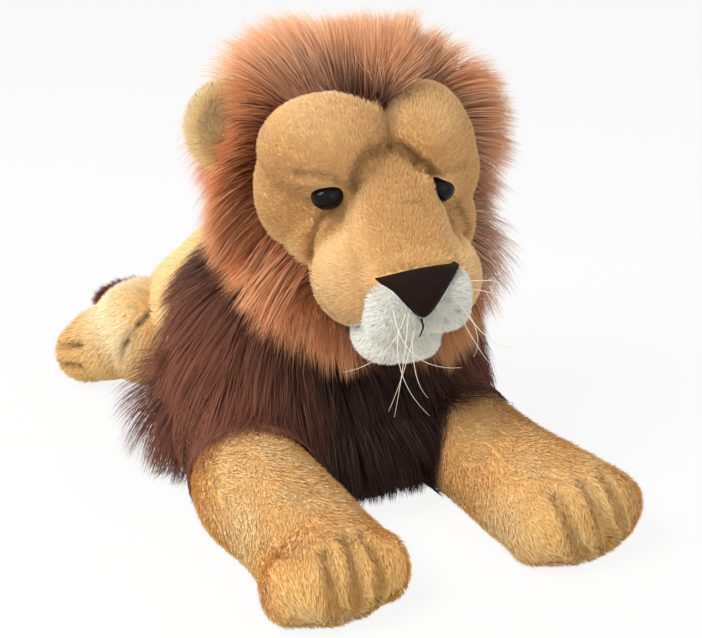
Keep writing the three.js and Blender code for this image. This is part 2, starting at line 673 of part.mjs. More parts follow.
// Rust mane: the pile's shell round the skull, open for the face, the ears and the neck
const faceRows = FACE_OPENING_SHARES.map(([ahead, up, half, above, below]) => ({
  at: new THREE.Vector3(0, ahead, up).multiplyScalar(SKULL_RADIUS),
  half: half * SKULL_RADIUS,
  up: above * SKULL_RADIUS,
  down: below * SKULL_RADIUS,
}));
const faceTunnel = inHead(loft(faceRows, SEAM_GAP, SEAM_GAP, 0, 20, 1, 2.3));
const bulgeHalf = new THREE.Vector3(maneRadius + MANE_BULGE, MANE_DEPTH * 1.6, maneRadius - MANE_BULGE);
const bulge = inHead(puff(onSkull(BULGE_SHARES), bulgeHalf, 0, SKULL_SIDES));
const maneForm = sphere(headPlace, maneRadius, SKULL_SIDES).add(bulge);
const whiteRoom = inHead(padForm(-1, SEAM_GAP).add(padForm(1, SEAM_GAP)).add(chinForm(SEAM_GAP)));
const mane = cutBy(maneForm, [headClear, faceTunnel, whiteRoom, neckCone(NECK_HALF_DEGREES + NECK_NOD_DEGREES, neckReach),
  ears.right.room, ears.left.room]);

// Brown mane
const bibRows = floorRows(BIB_SHARES, new THREE.Vector3(onTorso(HEAD_SHARES).x / 3, 0, 0), BIB_LENGTH, BIB_WIDTH, BIB_HEIGHT);
const muzzleRoom = union([
  muzzlePuff(JAW_SHARES, SWING_GAP + SWEEP_SLACK, SWEEP_SIDES),
  loft(muzzleRows, MUZZLE_CAP, MUZZLE_CAP, SWING_GAP + SWEEP_SLACK, SWEEP_SIDES, 1),
  muzzlePuff(SNOUT_ROOM_SHARES, SWING_GAP + SWEEP_SLACK, INNER_SIDES + 2),
]);
const muzzleSweep = swept(
  swept(inHead(muzzleRoom), headPlace, headAcross, NOD_RANGE_DEGREES, 1),
  headPlace, UP, TURN_RANGE_DEGREES, 3,
);
function skirt(way) {
  const [out, along, up, halfOut, halfAlong, halfUp] = SKIRT_SHARES;
  const at = new THREE.Vector3(bibRows[0].at.x + way * out * BIB_WIDTH, along * BIB_LENGTH, up * BIB_HEIGHT);
  return puff(at, new THREE.Vector3(halfOut * BIB_WIDTH, halfAlong * BIB_LENGTH, halfUp * BIB_HEIGHT), 0, PUFF_SIDES);
}
const bibForm = union([loft(bibRows, BIB_BACK_CAP, BIB_FRONT_CAP, 0, 16, 2, 2.4), skirt(-1), skirt(1)]);
const bib = cutBy(bibForm, [
  torsoForm(SEAM_GAP), scoop, muzzleSweep, underFloor,
  limbs.front_leg_right.sweep, limbs.front_leg_left.sweep,
]);

// Keeps the main body of a solid where a cut leaves crumbs
function mainBody(points, triangles) {
  const owner = Array.from({ length: points.length / 3 }, (_, i) => i);
  const find = (i) => {
    let root = i;
    while (owner[root] !== root) {
      root = owner[root];
    }
    let walk = i;
    while (owner[walk] !== root) {
      [walk, owner[walk]] = [owner[walk], root];
    }
    return root;
  };
  for (let i = 0; i < triangles.length; i += 3) {
    owner[find(triangles[i])] = find(triangles[i + 1]);
    owner[find(triangles[i + 1])] = find(triangles[i + 2]);
  }
  const groups = new Map();
  for (let i = 0; i < triangles.length; i += 3) {
    const root = find(triangles[i]);
    if (!groups.has(root)) {
      groups.set(root, []);
    }
    groups.get(root).push(triangles[i], triangles[i + 1], triangles[i + 2]);
  }
  return [...groups.values()].sort((a, b) => signedVolume(points, b) - signedVolume(points, a))[0];
}

const lion = new THREE.Group();
lion.name = 'plush_lion';

function addGeometry(name, geometry, paint, roughness = 0.9) {
  geometry.computeVertexNormals();
  const node = new THREE.Mesh(geometry, new THREE.MeshStandardMaterial({ color: paint, roughness }));
  node.name = name;
  lion.add(node);
}

function addSolid(name, solid, paint, roughness = 0.9) {
  const mesh = solid.getMesh();
  const points = meshPoints(mesh);
  const geometry = new THREE.BufferGeometry();
  geometry.setAttribute('position', new THREE.BufferAttribute(new Float32Array(points), 3));
  geometry.setIndex(mainBody(points, mesh.triVerts));
  addGeometry(name, mergeVertices(geometry, 1e-4), paint, roughness);
}

// Torso: cloth and filling, scooped where head, legs and tail turn
const sweeps = [...Object.values(limbs).map((leg) => leg.sweep), tailSweep];
const fillingSweeps = Object.values(limbs).map((leg) => leg.fillingSweep);
const shell = -PILE_THICK;
const inside = -PILE_THICK - SEAM_GAP;
addSolid('torso_skin', cutBy(torsoForm(0), [torsoInner(shell), scoop, underFloor, ...sweeps]), PAINT.gold);
addSolid('torso_filling', cutBy(torsoInner(inside), [scoop, tailSweep, ...fillingSweeps]), PAINT.filling);

// Neck
const neckCore = neckCone(NECK_HALF_DEGREES, neckReach).intersect(sphere(headPlace, maneRadius, NECK_SIDES))
  .subtract(sphere(headPlace, clearOfBall(NECK_INNER_RADIUS, NECK_SIDES, 2), NECK_SIDES));
addSolid('neck_filling', neckCore, PAINT.filling);

// Head
const headSkin = cutBy(headForm(0), [headInner(shell), neckRoom, ...eyeRooms.map((eye) => eye.room)]);
addSolid('head_skin', headSkin, PAINT.face);
addSolid('head_filling', cutBy(headInner(inside), [neckRoom, ...eyeRooms.map((eye) => eye.fillingRoom)]),
  PAINT.filling);
addSolid('mane_rust_head', mane, PAINT.rust);
addSolid('mane_brown_bib', bib, PAINT.brown);
addSolid('nose', inHead(noseForm(0)).subtract(headClear), PAINT.nose, 0.6);
addSolid('muzzle_pad_right', pad(-1), PAINT.white);
addSolid('muzzle_pad_left', pad(1), PAINT.white);
addSolid('chin', cutBy(inHead(cutBy(chinForm(0), [padForm(-1, SEAM_GAP), padForm(1, SEAM_GAP)])), [headClear]),
  PAINT.white);
Object.entries(eyes).forEach(([side, parts]) => {
  addSolid(`eye_${side}`, parts.eye, PAINT.eye, 0.15);
  addSolid(`eye_washer_${side}`, parts.washer, PAINT.washer, 0.5);
});
Object.entries(ears).forEach(([side, parts]) => {
  addSolid(`ear_back_${side}`, parts.back, PAINT.gold);
  addSolid(`ear_lining_${side}`, parts.lining, PAINT.gold);
});

// Legs: cloth, filling and sole, open towards the torso at the root
Object.entries(limbs).forEach(([name, leg]) => {
  const toe = leg.rows[leg.rows.length - 1];
  const heel = leg.rows[leg.rows.length - 2];
  const soleMiddle = toe.at.clone().add(heel.at).multiplyScalar(0.5).setZ(0);
  const soleHalf = new THREE.Vector3(toe.half, toe.half, 0).addScalar(SOLE_INSET).setZ(SOLE_THICK);
  const solePuff = (grow) => puff(soleMiddle, soleHalf, grow, SOLE_SIDES);
  const inward = new THREE.Vector3(-leg.root.x, 0, 0);
  const mouth = post(leg.root, inward, leg.radius * 0.5, leg.radius * 1.5, leg.radius * 0.6, leg.radius * 0.6, SWEEP_SIDES);
  const skin = cutBy(leg.form(0), [leg.inner(shell), underFloor, solePuff(SEAM_GAP), mouth]);
  addSolid(`${name}_skin`, skin, PAINT.gold);
  addSolid(`${name}_filling`, cutBy(leg.inner(inside), [solePuff(SEAM_GAP)]), PAINT.filling);
  addSolid(`${name}_sole`, cutBy(solePuff(0).intersect(leg.form(0)), [underFloor]), PAINT.sole);
});

// Tail
const tailMouth = post(tailRoot, new THREE.Vector3(0, -1, 0), TAIL_ROOT_RADIUS * 0.5, TAIL_ROOT_RADIUS * 1.5,
  TAIL_ROOT_RADIUS * 0.6, TAIL_ROOT_RADIUS * 0.6, SWEEP_SIDES);
const tailWall = PILE_THICK / 2;
addSolid('tail_skin', cutBy(tailForm(0), [tailForm(-tailWall), tailMouth]), PAINT.gold);
addSolid('tail_filling', tailForm(-tailWall - SEAM_GAP), PAINT.filling);
addSolid('tail_tuft', cutBy(tuftForm, [tailForm(SEAM_GAP), underFloor]), PAINT.brown);

// Whiskers: nylon threads from the pads
WHISKER_SHARES.forEach(([way, across, up, out1, ahead1, drop1, out2, ahead2, drop2], i) => {
  const root = onMuzzle(PAD_SHARES, way);
  const reach = Math.sqrt(1 - across * across - up * up);
  const normal = new THREE.Vector3(way * across, -reach, up);
  root.add(normal.clone().multiply(padHalf)).addScaledVector(normal, -WHISKER_ROOT);
  const far = (out, ahead, drop) => root.clone().add(new THREE.Vector3(way * out, ahead, drop).multiplyScalar(WHISKER_LENGTH));
  const path = new THREE.CatmullRomCurve3([root, far(out1, ahead1, drop1), far(out2, ahead2, drop2)]
    .map((point) => point.applyMatrix4(headMatrix)));
  const section = new THREE.Shape().absarc(0, 0, WHISKER_RADIUS, 0, 2 * Math.PI);
  const geometry = new THREE.ExtrudeGeometry(section, { steps: 4, extrudePath: path, curveSegments: WHISKER_SIDES });
  const side = way < 0 ? 'right' : 'left';
  const thread = solidFromGeometry(geometry).subtract(inHead(padForm(way, SEAM_GAP)));
  addSolid(`whisker_${side}_${i + 1}`, thread, PAINT.whisker, 0.5);
});

export default lion;
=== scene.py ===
import math

import bpy
import numpy as np
from bpy.props import FloatProperty, FloatVectorProperty, PointerProperty
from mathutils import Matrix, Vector
from mathutils.bvhtree import BVHTree
from mathutils.kdtree import KDTree


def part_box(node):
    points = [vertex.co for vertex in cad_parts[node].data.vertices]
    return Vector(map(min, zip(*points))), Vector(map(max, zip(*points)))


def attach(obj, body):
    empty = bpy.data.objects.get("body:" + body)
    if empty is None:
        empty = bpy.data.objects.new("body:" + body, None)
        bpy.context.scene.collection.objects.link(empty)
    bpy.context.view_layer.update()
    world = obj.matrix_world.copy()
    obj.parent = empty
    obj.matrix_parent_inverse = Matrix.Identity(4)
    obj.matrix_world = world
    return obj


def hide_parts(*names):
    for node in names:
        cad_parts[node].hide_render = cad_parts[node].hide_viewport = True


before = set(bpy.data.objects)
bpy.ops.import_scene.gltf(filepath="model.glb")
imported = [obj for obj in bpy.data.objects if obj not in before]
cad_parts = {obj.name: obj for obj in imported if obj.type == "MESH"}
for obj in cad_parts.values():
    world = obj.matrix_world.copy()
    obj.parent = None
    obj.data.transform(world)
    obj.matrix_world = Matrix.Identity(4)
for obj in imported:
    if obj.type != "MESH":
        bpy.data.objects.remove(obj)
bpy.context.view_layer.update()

bl_info = {
    "name": "Plush lion",
    "version": (1, 0, 0),
    "blender": (4, 5, 0),
    "location": "View3D > Sidebar > Plush lion",
    "description": "Builds a lying plush lion with its cloth, pile, face and stage",
    "category": "Add Mesh",
}

MM = 0.001
HEAD_PLACE = np.array([24.1, -65.9, 264.9])
HEAD_TURN = math.radians(-8)
HEAD_SPIN = np.array([
    [math.cos(HEAD_TURN), -math.sin(HEAD_TURN), 0],
    [math.sin(HEAD_TURN), math.cos(HEAD_TURN), 0],
    [0, 0, 1],
])
DOWN = np.array([0.0, 0.0, -1.0])

# Forms in millimetres. Rows run along Y: y, middle x, half width, top, lift of the underside.
TORSO_ROWS = [
    (244, 0, 66, 116, 6), (200, 0, 90, 136, 0), (140, 0, 101, 169, 0), (80, 0, 110, 206, 0),
    (20, 0, 114, 222, 0), (-50, 0, 103, 201, 0), (-99, 0, 82, 146, 2),
]
LEG_ROWS = {
    "front_leg_right": [
        (-100, -98, 48, 96, 0), (-159, -109, 54, 90, 0), (-217, -101, 52, 80, 0),
        (-252, -99, 54, 73, 0), (-286, -100, 60, 69, 0),
    ],
    "front_leg_left": [
        (-104, 86, 48, 98, 0), (-159, 86, 49, 91, 0), (-217, 90, 52, 84, 0),
        (-264, 95, 59, 82, 0), (-302, 101, 63, 78, 0),
    ],
}
SHOULDER_PLACES = {"front_leg_right": (-94, -92, 57), "front_leg_left": (84, -96, 57)}
SHOULDER_HALF = (58, 58, 58)
# Pale patches on the front legs: middle, half sizes, how pale
PALE_PATCHES = {
    "front_leg_right": [((-152, -225, 50), (26, 50, 40), 0.8)],
    "front_leg_left": [((52, -280, 30), (22, 40, 36), 0.8)],
}
BIB_ROWS = [
    (52, 8, 73, 216, 44), (10, 8, 127, 232, 24), (-50, 8, 146, 234, 8),
    (-106, 8, 144, 206, 0), (-132, 8, 130, 152, 0), (-149, 8, 101, 110, 0),
]
SKIRT_BALL = ((104, -4, 44), (56, 68, 72))
# Head forms in the head's own frame, where the face looks along -Y: middle, then half sizes
HEAD_BALLS = [
    ((0, 0, 0), (86, 86, 86)),
    ((0, -34, 0), (96, 43, 81)),
]
FACE_BALLS = [
    ((-38, -47, 34), (57, 45, 44)),
    ((-46, -60, 17), (38, 28, 13)),
    ((44, -46, 40), (38, 42, 43)),
    ((50, -44, 27), (40, 43, 46)),
    ((54, -41, 8), (42, 43, 46)),
    ((54, -62, 12), (27, 24, 12)),
    ((32, -83, 3), (11, 13, 16)),
    ((-38, -38, -34), (39, 40, 45)),
    ((47, -40, -36), (48, 46, 50)),
    ((6, -80, -78), (46, 58, 31)),
    ((-24, -86, -63), (39, 50, 41)),
    ((41, -86, -67), (38, 50, 40)),
]
SKULL_REACH = 92
SNOUT_BALL = ((0, -95, -62), (56, 66, 56))
SNOUT_ROWS = [
    (-40, 6, 55, 36, -80), (-84, 6, 48, 11, -99), (-112, 6, 46, -16, -105), (-128, 6, 42, -32, -106),
]
BRIDGE_ROWS = [
    (-62, 5, 33, 37, -40), (-78, 6, 41, 29, -50), (-96, 6, 45, 11, -60), (-114, 5, 43, -11, -70),
    (-130, 5, 42, -29, -80),
]
EYE_PLACES = {"right": (-46, -75, 2), "left": (48.5, -74, -1)}
EYE_HALF = (13, 11.5, 10.5)
EYE_SOCKET = 10
MOUTH_LINE = [(4, -150, -78), (5, -152, -84), (4, -151, -89), (3, -150, -93)]
PAD_BALLS = {"right": ((-11, -121, -73), (24, 30, 31)), "left": ((27, -121, -72), (26, 29, 27))}
CHIN_BALL = ((-2, -112, -104), (34, 31, 19))
NOSE_BALL = ((6, -132, -56), (40, 19, 22.5))
WHITE_PLACES = [
    ((-2, -136, -90), (33, 40, 26)), ((30, -134, -80), (24, 40, 24)), ((-8, -116, -103), (38, 44, 20)),
    ((6, -150, -70), (26, 30, 26)),
]
FACE_WHORL = (0, -150, -50)
NOSE_TOP = 16
NOSE_BEND = 0.004
NOSE_TILT = 0.05
NOSE_AHEAD = 0.35
EAR_PLACES = {"right": (-104, 10, 43), "left": (95, 14, 39)}
EAR_HALVES = {"right": (33, 12, 36), "left": (30, 12, 33)}
EAR_LINING_HALF = (25, 5, 28)
EAR_CUP_HALF = (26, 29)
EAR_CUP_DEPTHS = (9, 3)
# Room round an ear that the mane leaves free
EAR_REACH = (36, 13, 38)
# Where along Y the mane starts behind the face, by the angle from straight up
FACE_EDGE = [
    (0, -52), (14, -44), (24, -26), (45, -4), (80, 0), (100, -16), (118, -42), (140, -66), (165, -62),
    (180, -60),
]
# Creases in the head's frame: points, depth, width
HEAD_CREASES = [
    ([(10, -47, 68), (10, -53, 59), (10, -60, 51), (8, -65, 44), (9, -68, 37)], 9, 4.5),
    ([(-27, -78, 11), (-26, -80, 20), (-23, -84, 28), (-16, -82, 34), (-5, -74, 35), (10, -70, 35),
      (25, -72, 28), (32, -74, 21), (37, -76, 13), (40, -78, 6)], 8, 4.5),
    ([(-38, -76, -7), (-47, -73, -13), (-53, -72, -21), (-57, -70, -34), (-59, -68, -52),
      (-59, -75, -67), (-57, -92, -78), (-50, -104, -88)], 6, 3.2),
    ([(61, -74, -16), (67, -74, -25), (73, -72, -37), (72, -84, -46), (70, -100, -52)], 3, 3.2),
    ([(-70, -79, 23), (-57, -84, 22), (-47, -86, 18), (-35, -80, 12)], 3, 4),
    ([(39, -78, 12), (46, -81, 11), (56, -82, 14), (68, -78, 16)], 2.5, 4),
    ([(-26, -80, 4), (-28, -86, -5), (-31, -93, -15), (-33, -99, -24), (-33, -109, -36),
      (-33, -122, -42)], 3, 4.5),
    ([(42, -82, -6), (48, -80, -15), (53, -82, -22), (58, -86, -34), (56, -108, -39)], 3, 4.5),
    ([(8, -102, -1), (15, -103, -3), (21, -102, -3), (26, -106, -9)], 1.2, 2.5),
]
# How dark the pile is in the creases of the head: first and last crease, how far it spreads, how dark it is
CREASE_SHADES = [
    (0, 1, 1.1, 0.95), (1, 2, 1.3, 0.85), (2, 4, 1.3, 0.6), (4, 6, 1.0, 0.3), (6, 8, 1.0, 0.1),
    (8, 9, 1.0, 0.3),
]
PAW_CREASES = {
    "front_leg_right": [
        ([(-118, -323, 6), (-118, -322, 28), (-116, -310, 54), (-114, -294, 64)], 9, 3.6),
        ([(-98, -326, 6), (-98, -322, 28), (-95, -300, 58), (-94, -284, 68)], 9, 3.6),
        ([(-75, -323, 6), (-75, -320, 28), (-77, -300, 50), (-81, -286, 62)], 9, 3.6),
        ([(-138, -262, 66), (-120, -258, 71), (-96, -250, 72)], 3, 5),
    ],
    "front_leg_left": [
        ([(90, -342, 6), (83, -336, 28), (75, -322, 54), (71, -308, 66)], 9, 3.6),
        ([(118, -342, 6), (111, -338, 28), (101, -322, 56), (97, -308, 68)], 9, 3.6),
        ([(134, -336, 6), (130, -334, 28), (121, -320, 54), (116, -306, 66)], 9, 3.6),
    ],
}
TOES = {
    "front_leg_right": [
        ((-139, -282, 30), (22, 25, 32)), ((-108, -294, 30), (15, 26, 34)), ((-86, -294, 30), (15, 26, 33)),
        ((-60, -286, 29), (19, 26, 31)),
    ],
    "front_leg_left": [
        ((62, -294, 30), (23, 28, 33)), ((98, -307, 30), (17, 26, 34)), ((122, -306, 30), (14, 26, 33)),
        ((143, -295, 28), (15, 26, 30)),
    ],
}
HIND_BALLS = [
    ((91, 176, 53), (58, 58, 56), 0),
    ((106, 158, 56), (40, 56, 55), 12),
    ((128, 184, 43), (48, 49, 40), 0),
    ((148, 192, 34), (37, 36, 35), 0),
]
# Creases of the right hind leg, which the left one mirrors
HIND_CREASES = [
    ([(-180, 192, 45), (-170, 179, 50), (-160, 164, 54)], 6, 4),
    ([(-178, 186, 29), (-172, 173, 30), (-162, 164, 32)], 6, 4),
    ([(-76, 152, 98), (-109, 120, 87), (-130, 120, 62), (-138, 124, 30)], 5, 3.4),
]
# Middle line of the tail: across, along, up, radius
TAIL_LINE = [
    (-2, 268, 44, 22), (-6, 284, 34, 14), (-11, 300, 24, 13), (-19, 312, 18, 13), (-28, 322, 14, 13),
    (-38, 330, 14, 12), (-48, 335, 18, 12),
]
TUFT_BALL = ((-62, 338, 20), (22, 15, 14))
# Grey dots on the pads, in the head's frame
WHISKER_DOTS = [
    (-30, -148, -71), (-21, -149, -78), (-9, -148, -92), (26, -147, -66), (33, -147, -75), (24, -148, -82),
]
# Whiskers: side, place on the pad (across, up), then the way out, ahead and down at half and full length
WHISKERS = [
    (-1, -0.1, 0.05, 0.34, -0.3, -0.26, 0.78, -0.36, -0.38),
    (-1, -0.62, -0.15, 0.22, -0.26, -0.4, 0.42, -0.32, -0.86),
    (-1, -0.5, -0.5, 0.06, -0.24, -0.38, -0.06, -0.3, -0.66),
    (-1, -0.2, 0, 0.16, -0.28, -0.42, 0.26, -0.32, -0.95),
    (-1, 0.1, -0.3, 0.06, -0.26, -0.42, -0.2, -0.36, -0.86),
    (-1, 0.3, 0.14, -0.06, -0.42, -0.32, -0.5, -0.56, -0.46),
    (1, 0.62, -0.1, 0.1, -0.12, -0.3, 0.06, -0.14, -0.52),
    (1, 0.5, -0.42, 0.12, -0.18, -0.28, 0.24, -0.24, -0.46),
    (1, 0.34, 0.1, 0.2, -0.26, -0.3, 0.44, -0.36, -0.42),
    (1, 0.72, 0.36, 0.22, -0.1, -0.04, 0.4, -0.12, -0.12),
    (1, 0.72, 0.5, 0.2, -0.14, 0.04, 0.38, -0.2, 0.0),
]
WHISKER_LENGTH = 76
WHISKER_RADIUS = 0.42
# How many strands each coat has
STRANDS = {
    "torso_pile": 34000, "tail_pile": 8000, "tail_tuft_pile": 5000, "face_pile": 58000, "bib_pile": 48000,
    "rust_mane": 54000, "muzzle_pad_right_pile": 11000, "muzzle_pad_left_pile": 11000, "chin_pile": 11000,
    "front_leg_right_pile": 56000, "front_leg_left_pile": 56000, "hind_leg_right_pile": 24000,
    "hind_leg_left_pile": 24000, "ear_back_right_pile": 13000, "ear_back_left_pile": 13000,
    "ear_lining_right_pile": 5000, "ear_lining_left_pile": 5000,
}
STRAND_TAPER = 2.2
FACE_FINENESS = 0.85
# A strand further inside a skin than this, in metres, is left there
DEEPEST = 0.05
# Length of the mane by the angle from straight up, as a share of its full length
MANE_ANGLES = [0, 40, 62, 90, 110, 130, 150, 180]
MANE_LENGTHS = [0.82, 0.94, 0.93, 0.92, 0.9, 0.9, 0.92, 0.78]
MANE_TOP = 0.405
MANE_EASE = 0.02
FLOOR_SINK = 7
TUBE_SIDES = 36
SIDES = {"right": -1, "left": 1}
# How far above the floor the cloth, the strands and their roots end, in metres
CLOTH_FLOOR = 0.0005
STRAND_FLOOR = 0.0004
ROOT_FLOOR = 0.0012
# Pile lengths that are not among the settings, in metres
PAD_PILE = 0.0048
EAR_PILE = {"back": 0.009, "lining": 0.008}
TUFT_PILE = 0.028
# The stage, in metres
CAMERA_PLACE = (-0.4271, -0.95005, 0.5308)
CAMERA_WAY = (0.4209, 0.8261, -0.3746)
KEY_PLACE = (-1.5, -0.2, 1.9)
KEY_SIZE = 1.4
FILL_PLACE = (0.6, -1.9, 1.1)
FILL_SIZE = 1.6
LAMP_TARGET = (0, 0, 0.12)
FLOOR_SIZE = 12
FLOOR_SHADE = (0.86, 0.86, 0.86, 1)
WHITE = (1, 1, 1, 1)


def ink(red, green, blue):
    """A colour as written on screen, 0 to 255, turned to linear light."""
    def light(value):
        value /= 255
        return value / 12.92 if value <= 0.04045 else ((value + 0.055) / 1.055) ** 2.4
    return (light(red), light(green), light(blue), 1.0)


def colour(name, description, *value):
    return FloatVectorProperty(
        name=name, description=description, subtype="COLOR", size=4, min=0, max=1, default=ink(*value),
    )


def length(name, description, value):
    return FloatProperty(
        name=name, description=description, subtype="DISTANCE", unit="LENGTH", default=value * MM,
    )


def power(name, description, value):
    return FloatProperty(name=name, description=description, unit="POWER", default=value)


class LionColours(bpy.types.PropertyGroup):
    """Colours of the cloth and pile"""
    gold_tip: colour("Golden tips", "Tips of the golden pile", 255, 220, 146)
    gold_root: colour("Golden roots", "Roots of the golden pile", 240, 186, 108)
    # The pale golden colour is partly real cream patches and partly painted light: highlights on the tops of
    # the torso and legs, paler pile near the floor over the shade there, and the ears lightened out of the
    # shade of their cups.
    gold_pale: colour("Golden, pale", "Pale patches of the golden pile", 255, 238, 194)
    gold_dark: colour("Golden, creased", "Golden pile down in creases", 112, 62, 26)
    face_tip: colour("Face tips", "Tips of the face pile", 242, 198, 134)
    face_root: colour("Face roots", "Roots of the face pile", 212, 162, 100)
    # The pale face colour also paints the highlight on the tops of the brows.
    face_pale: colour("Face, pale", "Pale patches of the face", 252, 220, 164)
    face_dark: colour("Face, creased", "Face pile down in creases", 98, 42, 18)
    rust_tip: colour("Rust tips", "Tips of the rust mane", 255, 188, 132)
    rust_root: colour("Rust roots", "Roots of the rust mane", 190, 108, 62)
    # The pale rust colour is a painted highlight on the top of the mane and on the lion's left side.
    rust_pale: colour("Rust, pale", "Light edge of the rust mane", 255, 222, 186)
    # Along the face edge, most of all over the forehead, the dark rust colour is partly the mane's own brown
    # roots and partly painted shade in the recess where the mane meets the face.
    rust_dark: colour("Rust, dark", "Brown roots over the forehead and below the chin", 92, 46, 34)
    brown_tip: colour("Brown tips", "Tips of the brown mane", 146, 90, 70)
    brown_root: colour("Brown roots", "Roots of the brown mane", 58, 31, 23)
    brown_dark: colour("Brown, dark", "Darkest brown, low on the chest", 40, 20, 12)
    white_tip: colour("White tips", "Tips of the white muzzle pile", 252, 252, 244)
    white_root: colour("White roots", "Roots of the white muzzle pile", 228, 228, 216)
    white_dot: colour("Whisker dots", "Grey dots where the whiskers grow", 120, 120, 108)
    nose: colour("Nose", "Velvet of the nose", 34, 18, 13)
    eye: colour("Eye", "Dark plastic of the eyes", 14, 11, 12)
    sole: colour("Sole", "Cloth under the paws", 226, 190, 134)
    whisker: colour("Whisker", "Nylon of the whiskers", 246, 238, 214)
    thread: colour("Thread", "Thread of mouth and brow", 60, 34, 28)
    plastic: colour("Washer", "Plastic behind the eyes", 216, 216, 212)


class LionPile(bpy.types.PropertyGroup):
    """Lengths and widths of the pile"""
    gold_length: length("Golden pile", "Length of the golden pile", 7)
    face_length: length("Face pile", "Length of the face pile", 4.2)
    rust_length: length("Rust mane", "Length of the rust mane", 78)
    brown_length: length("Brown mane", "Length of the brown mane", 72)
    short_width: length("Short strand", "Width of a short strand", 0.7)
    long_width: length("Long strand", "Width of a long strand", 0.74)


class LionStage(bpy.types.PropertyGroup):
    """Camera and light"""
    lens: FloatProperty(
        name="Lens", description="Focal length", subtype="DISTANCE_CAMERA", unit="CAMERA", default=62.05,
    )
    key_power: power("Key lamp", "Power of the main softbox", 46)
    fill_power: power("Fill lamp", "Power of the second softbox", 6)
    surround: FloatProperty(
        name="Surround", description="Strength of the even light all round", default=0.46, min=0,
    )


# Working in numpy on points in metres


def out_of_head(points):
    """Points of the head's frame in millimetres as points of the lion in metres."""
    return (np.asarray(points, float) @ HEAD_SPIN.T + HEAD_PLACE) * MM


def into_head(points):
    """Points of the lion in metres as points of the head's frame in millimetres."""
    return (np.asarray(points, float) / MM - HEAD_PLACE) @ HEAD_SPIN


def unit(vectors):
    return vectors / np.maximum(np.linalg.norm(vectors, axis=-1, keepdims=True), 1e-9)


def smooth_step(low, high, value):
    share = np.clip((value - low) / (high - low), 0, 1)
    return share * share * (3 - 2 * share)


def hill(value, middle, width):
    """1 at the middle, falling away on both sides."""
    return np.exp(-((value - middle) / width) ** 2)


def near_line(points, line):
    """Distance of each point from a line through the given points."""
    line = np.asarray(line, float)
    best = np.full(len(points), np.inf)
    for start, end in zip(line[:-1], line[1:]):
        along = end - start
        share = np.clip((points - start) @ along / (along @ along), 0, 1)
        best = np.minimum(best, np.linalg.norm(points - start - share[:, None] * along, axis=1))
    return best


def crease_share(points, creases, widen=1.0):
    """How deep each point lies in the nearest crease, from 0 to 1."""
    share = np.zeros(len(points))
    for line, _, width in creases:
        share = np.maximum(share, hill(near_line(points, line), 0, width * widen))
    return share


def spot(points, place, half):
    """1 at the middle of an ellipsoid, falling to 0 at its edge."""
    return np.clip(1 - np.linalg.norm((points - np.array(place)) / np.array(half), axis=1) ** 2, 0, 1)


def ripple(points, size, seed):
    """A soft field of random waves, about -1 to 1."""
    rng = np.random.default_rng(seed)
    total = np.zeros(len(points))
    for _ in range(7):
        wave = rng.normal(size=3) * 2 / size
        total += np.sin(points @ wave + rng.uniform(0, 6.28))
    return total / 3


# Modelling with Blender's own operators


def clear_selection():
    if bpy.context.mode != "OBJECT":
        bpy.ops.object.mode_set(mode="OBJECT")
    bpy.ops.object.select_all(action="DESELECT")


def pick(*objects):
    clear_selection()
    for piece in objects:
        piece.select_set(True)
    bpy.context.view_layer.objects.active = objects[0]


def add_ball(place, half, turn=(0, 0, 0), shrink=0, sides=32):
    """An ellipsoid, place and half sizes in millimetres."""
    clear_selection()
    bpy.ops.mesh.primitive_uv_sphere_add(
        segments=sides, ring_count=sides // 2 + 2, radius=1, location=Vector(place) * MM, rotation=turn,
        scale=[max(size - shrink, 1) * MM for size in half],
    )
    return bpy.context.object


def add_head_ball(place, half, shrink=0, sides=32):
    return add_ball(out_of_head(place) / MM, half, (0, 0, HEAD_TURN), shrink, sides)


def finer(rows, steps=3):
    """More rows between those given, on a smooth curve through them."""
    rows = np.array(rows, float)
    padded = np.vstack([2 * rows[0] - rows[1], rows, 2 * rows[-1] - rows[-2]])
    found = []
    for i in range(len(rows) - 1):
        a, b, c, d = padded[i:i + 4]
        for k in range(steps):
            t = k / steps
            bend = (2 * a - 5 * b + 4 * c - d) * t ** 2
            found.append(0.5 * (2 * b + (c - a) * t + bend + (3 * b - a - 3 * c + d) * t ** 3))
    return np.vstack([found, rows[-1:]])


def add_tube(rows, shrink):
    """Rings along Y bridged to a closed tube. On the floor they reach a little under it, to be flattened."""
    rings = []
    for y, x, half, top, lift in finer(rows):
        clear_selection()
        low = lift - (FLOOR_SINK if lift < 1 else -shrink)
        high = top - shrink
        bpy.ops.mesh.primitive_circle_add(
            vertices=TUBE_SIDES, radius=1, location=(x * MM, y * MM, (high + low) / 2 * MM),
            rotation=(math.pi / 2, 0, 0),
        )
        rings.append(bpy.context.object)
        rings[-1].scale = ((half - shrink) * MM, (high - low) / 2 * MM, 1)
    pick(*rings)
    bpy.ops.object.join()
    bpy.ops.object.transform_apply(location=True, rotation=True, scale=True)
    bpy.ops.object.mode_set(mode="EDIT")
    bpy.ops.mesh.select_all(action="SELECT")
    bpy.ops.mesh.bridge_edge_loops()
    bpy.ops.mesh.select_all(action="SELECT")
    bpy.ops.mesh.fill_holes(sides=0)
    bpy.ops.mesh.select_all(action="SELECT")
    bpy.ops.mesh.normals_make_consistent(inside=False)
    bpy.ops.object.mode_set(mode="OBJECT")
    return bpy.context.object


def add_ends(rows, caps, shrink, sink=FLOOR_SINK):
    """Domes at the two ends of a tube."""
    domes = []
    for (y, x, half, top, lift), cap in zip((rows[0], rows[-1]), caps):
        low = lift - sink
        domes.append(add_ball((x, y, (top + low) / 2), (half, cap + shrink, (top - low) / 2), shrink=shrink))
    return domes


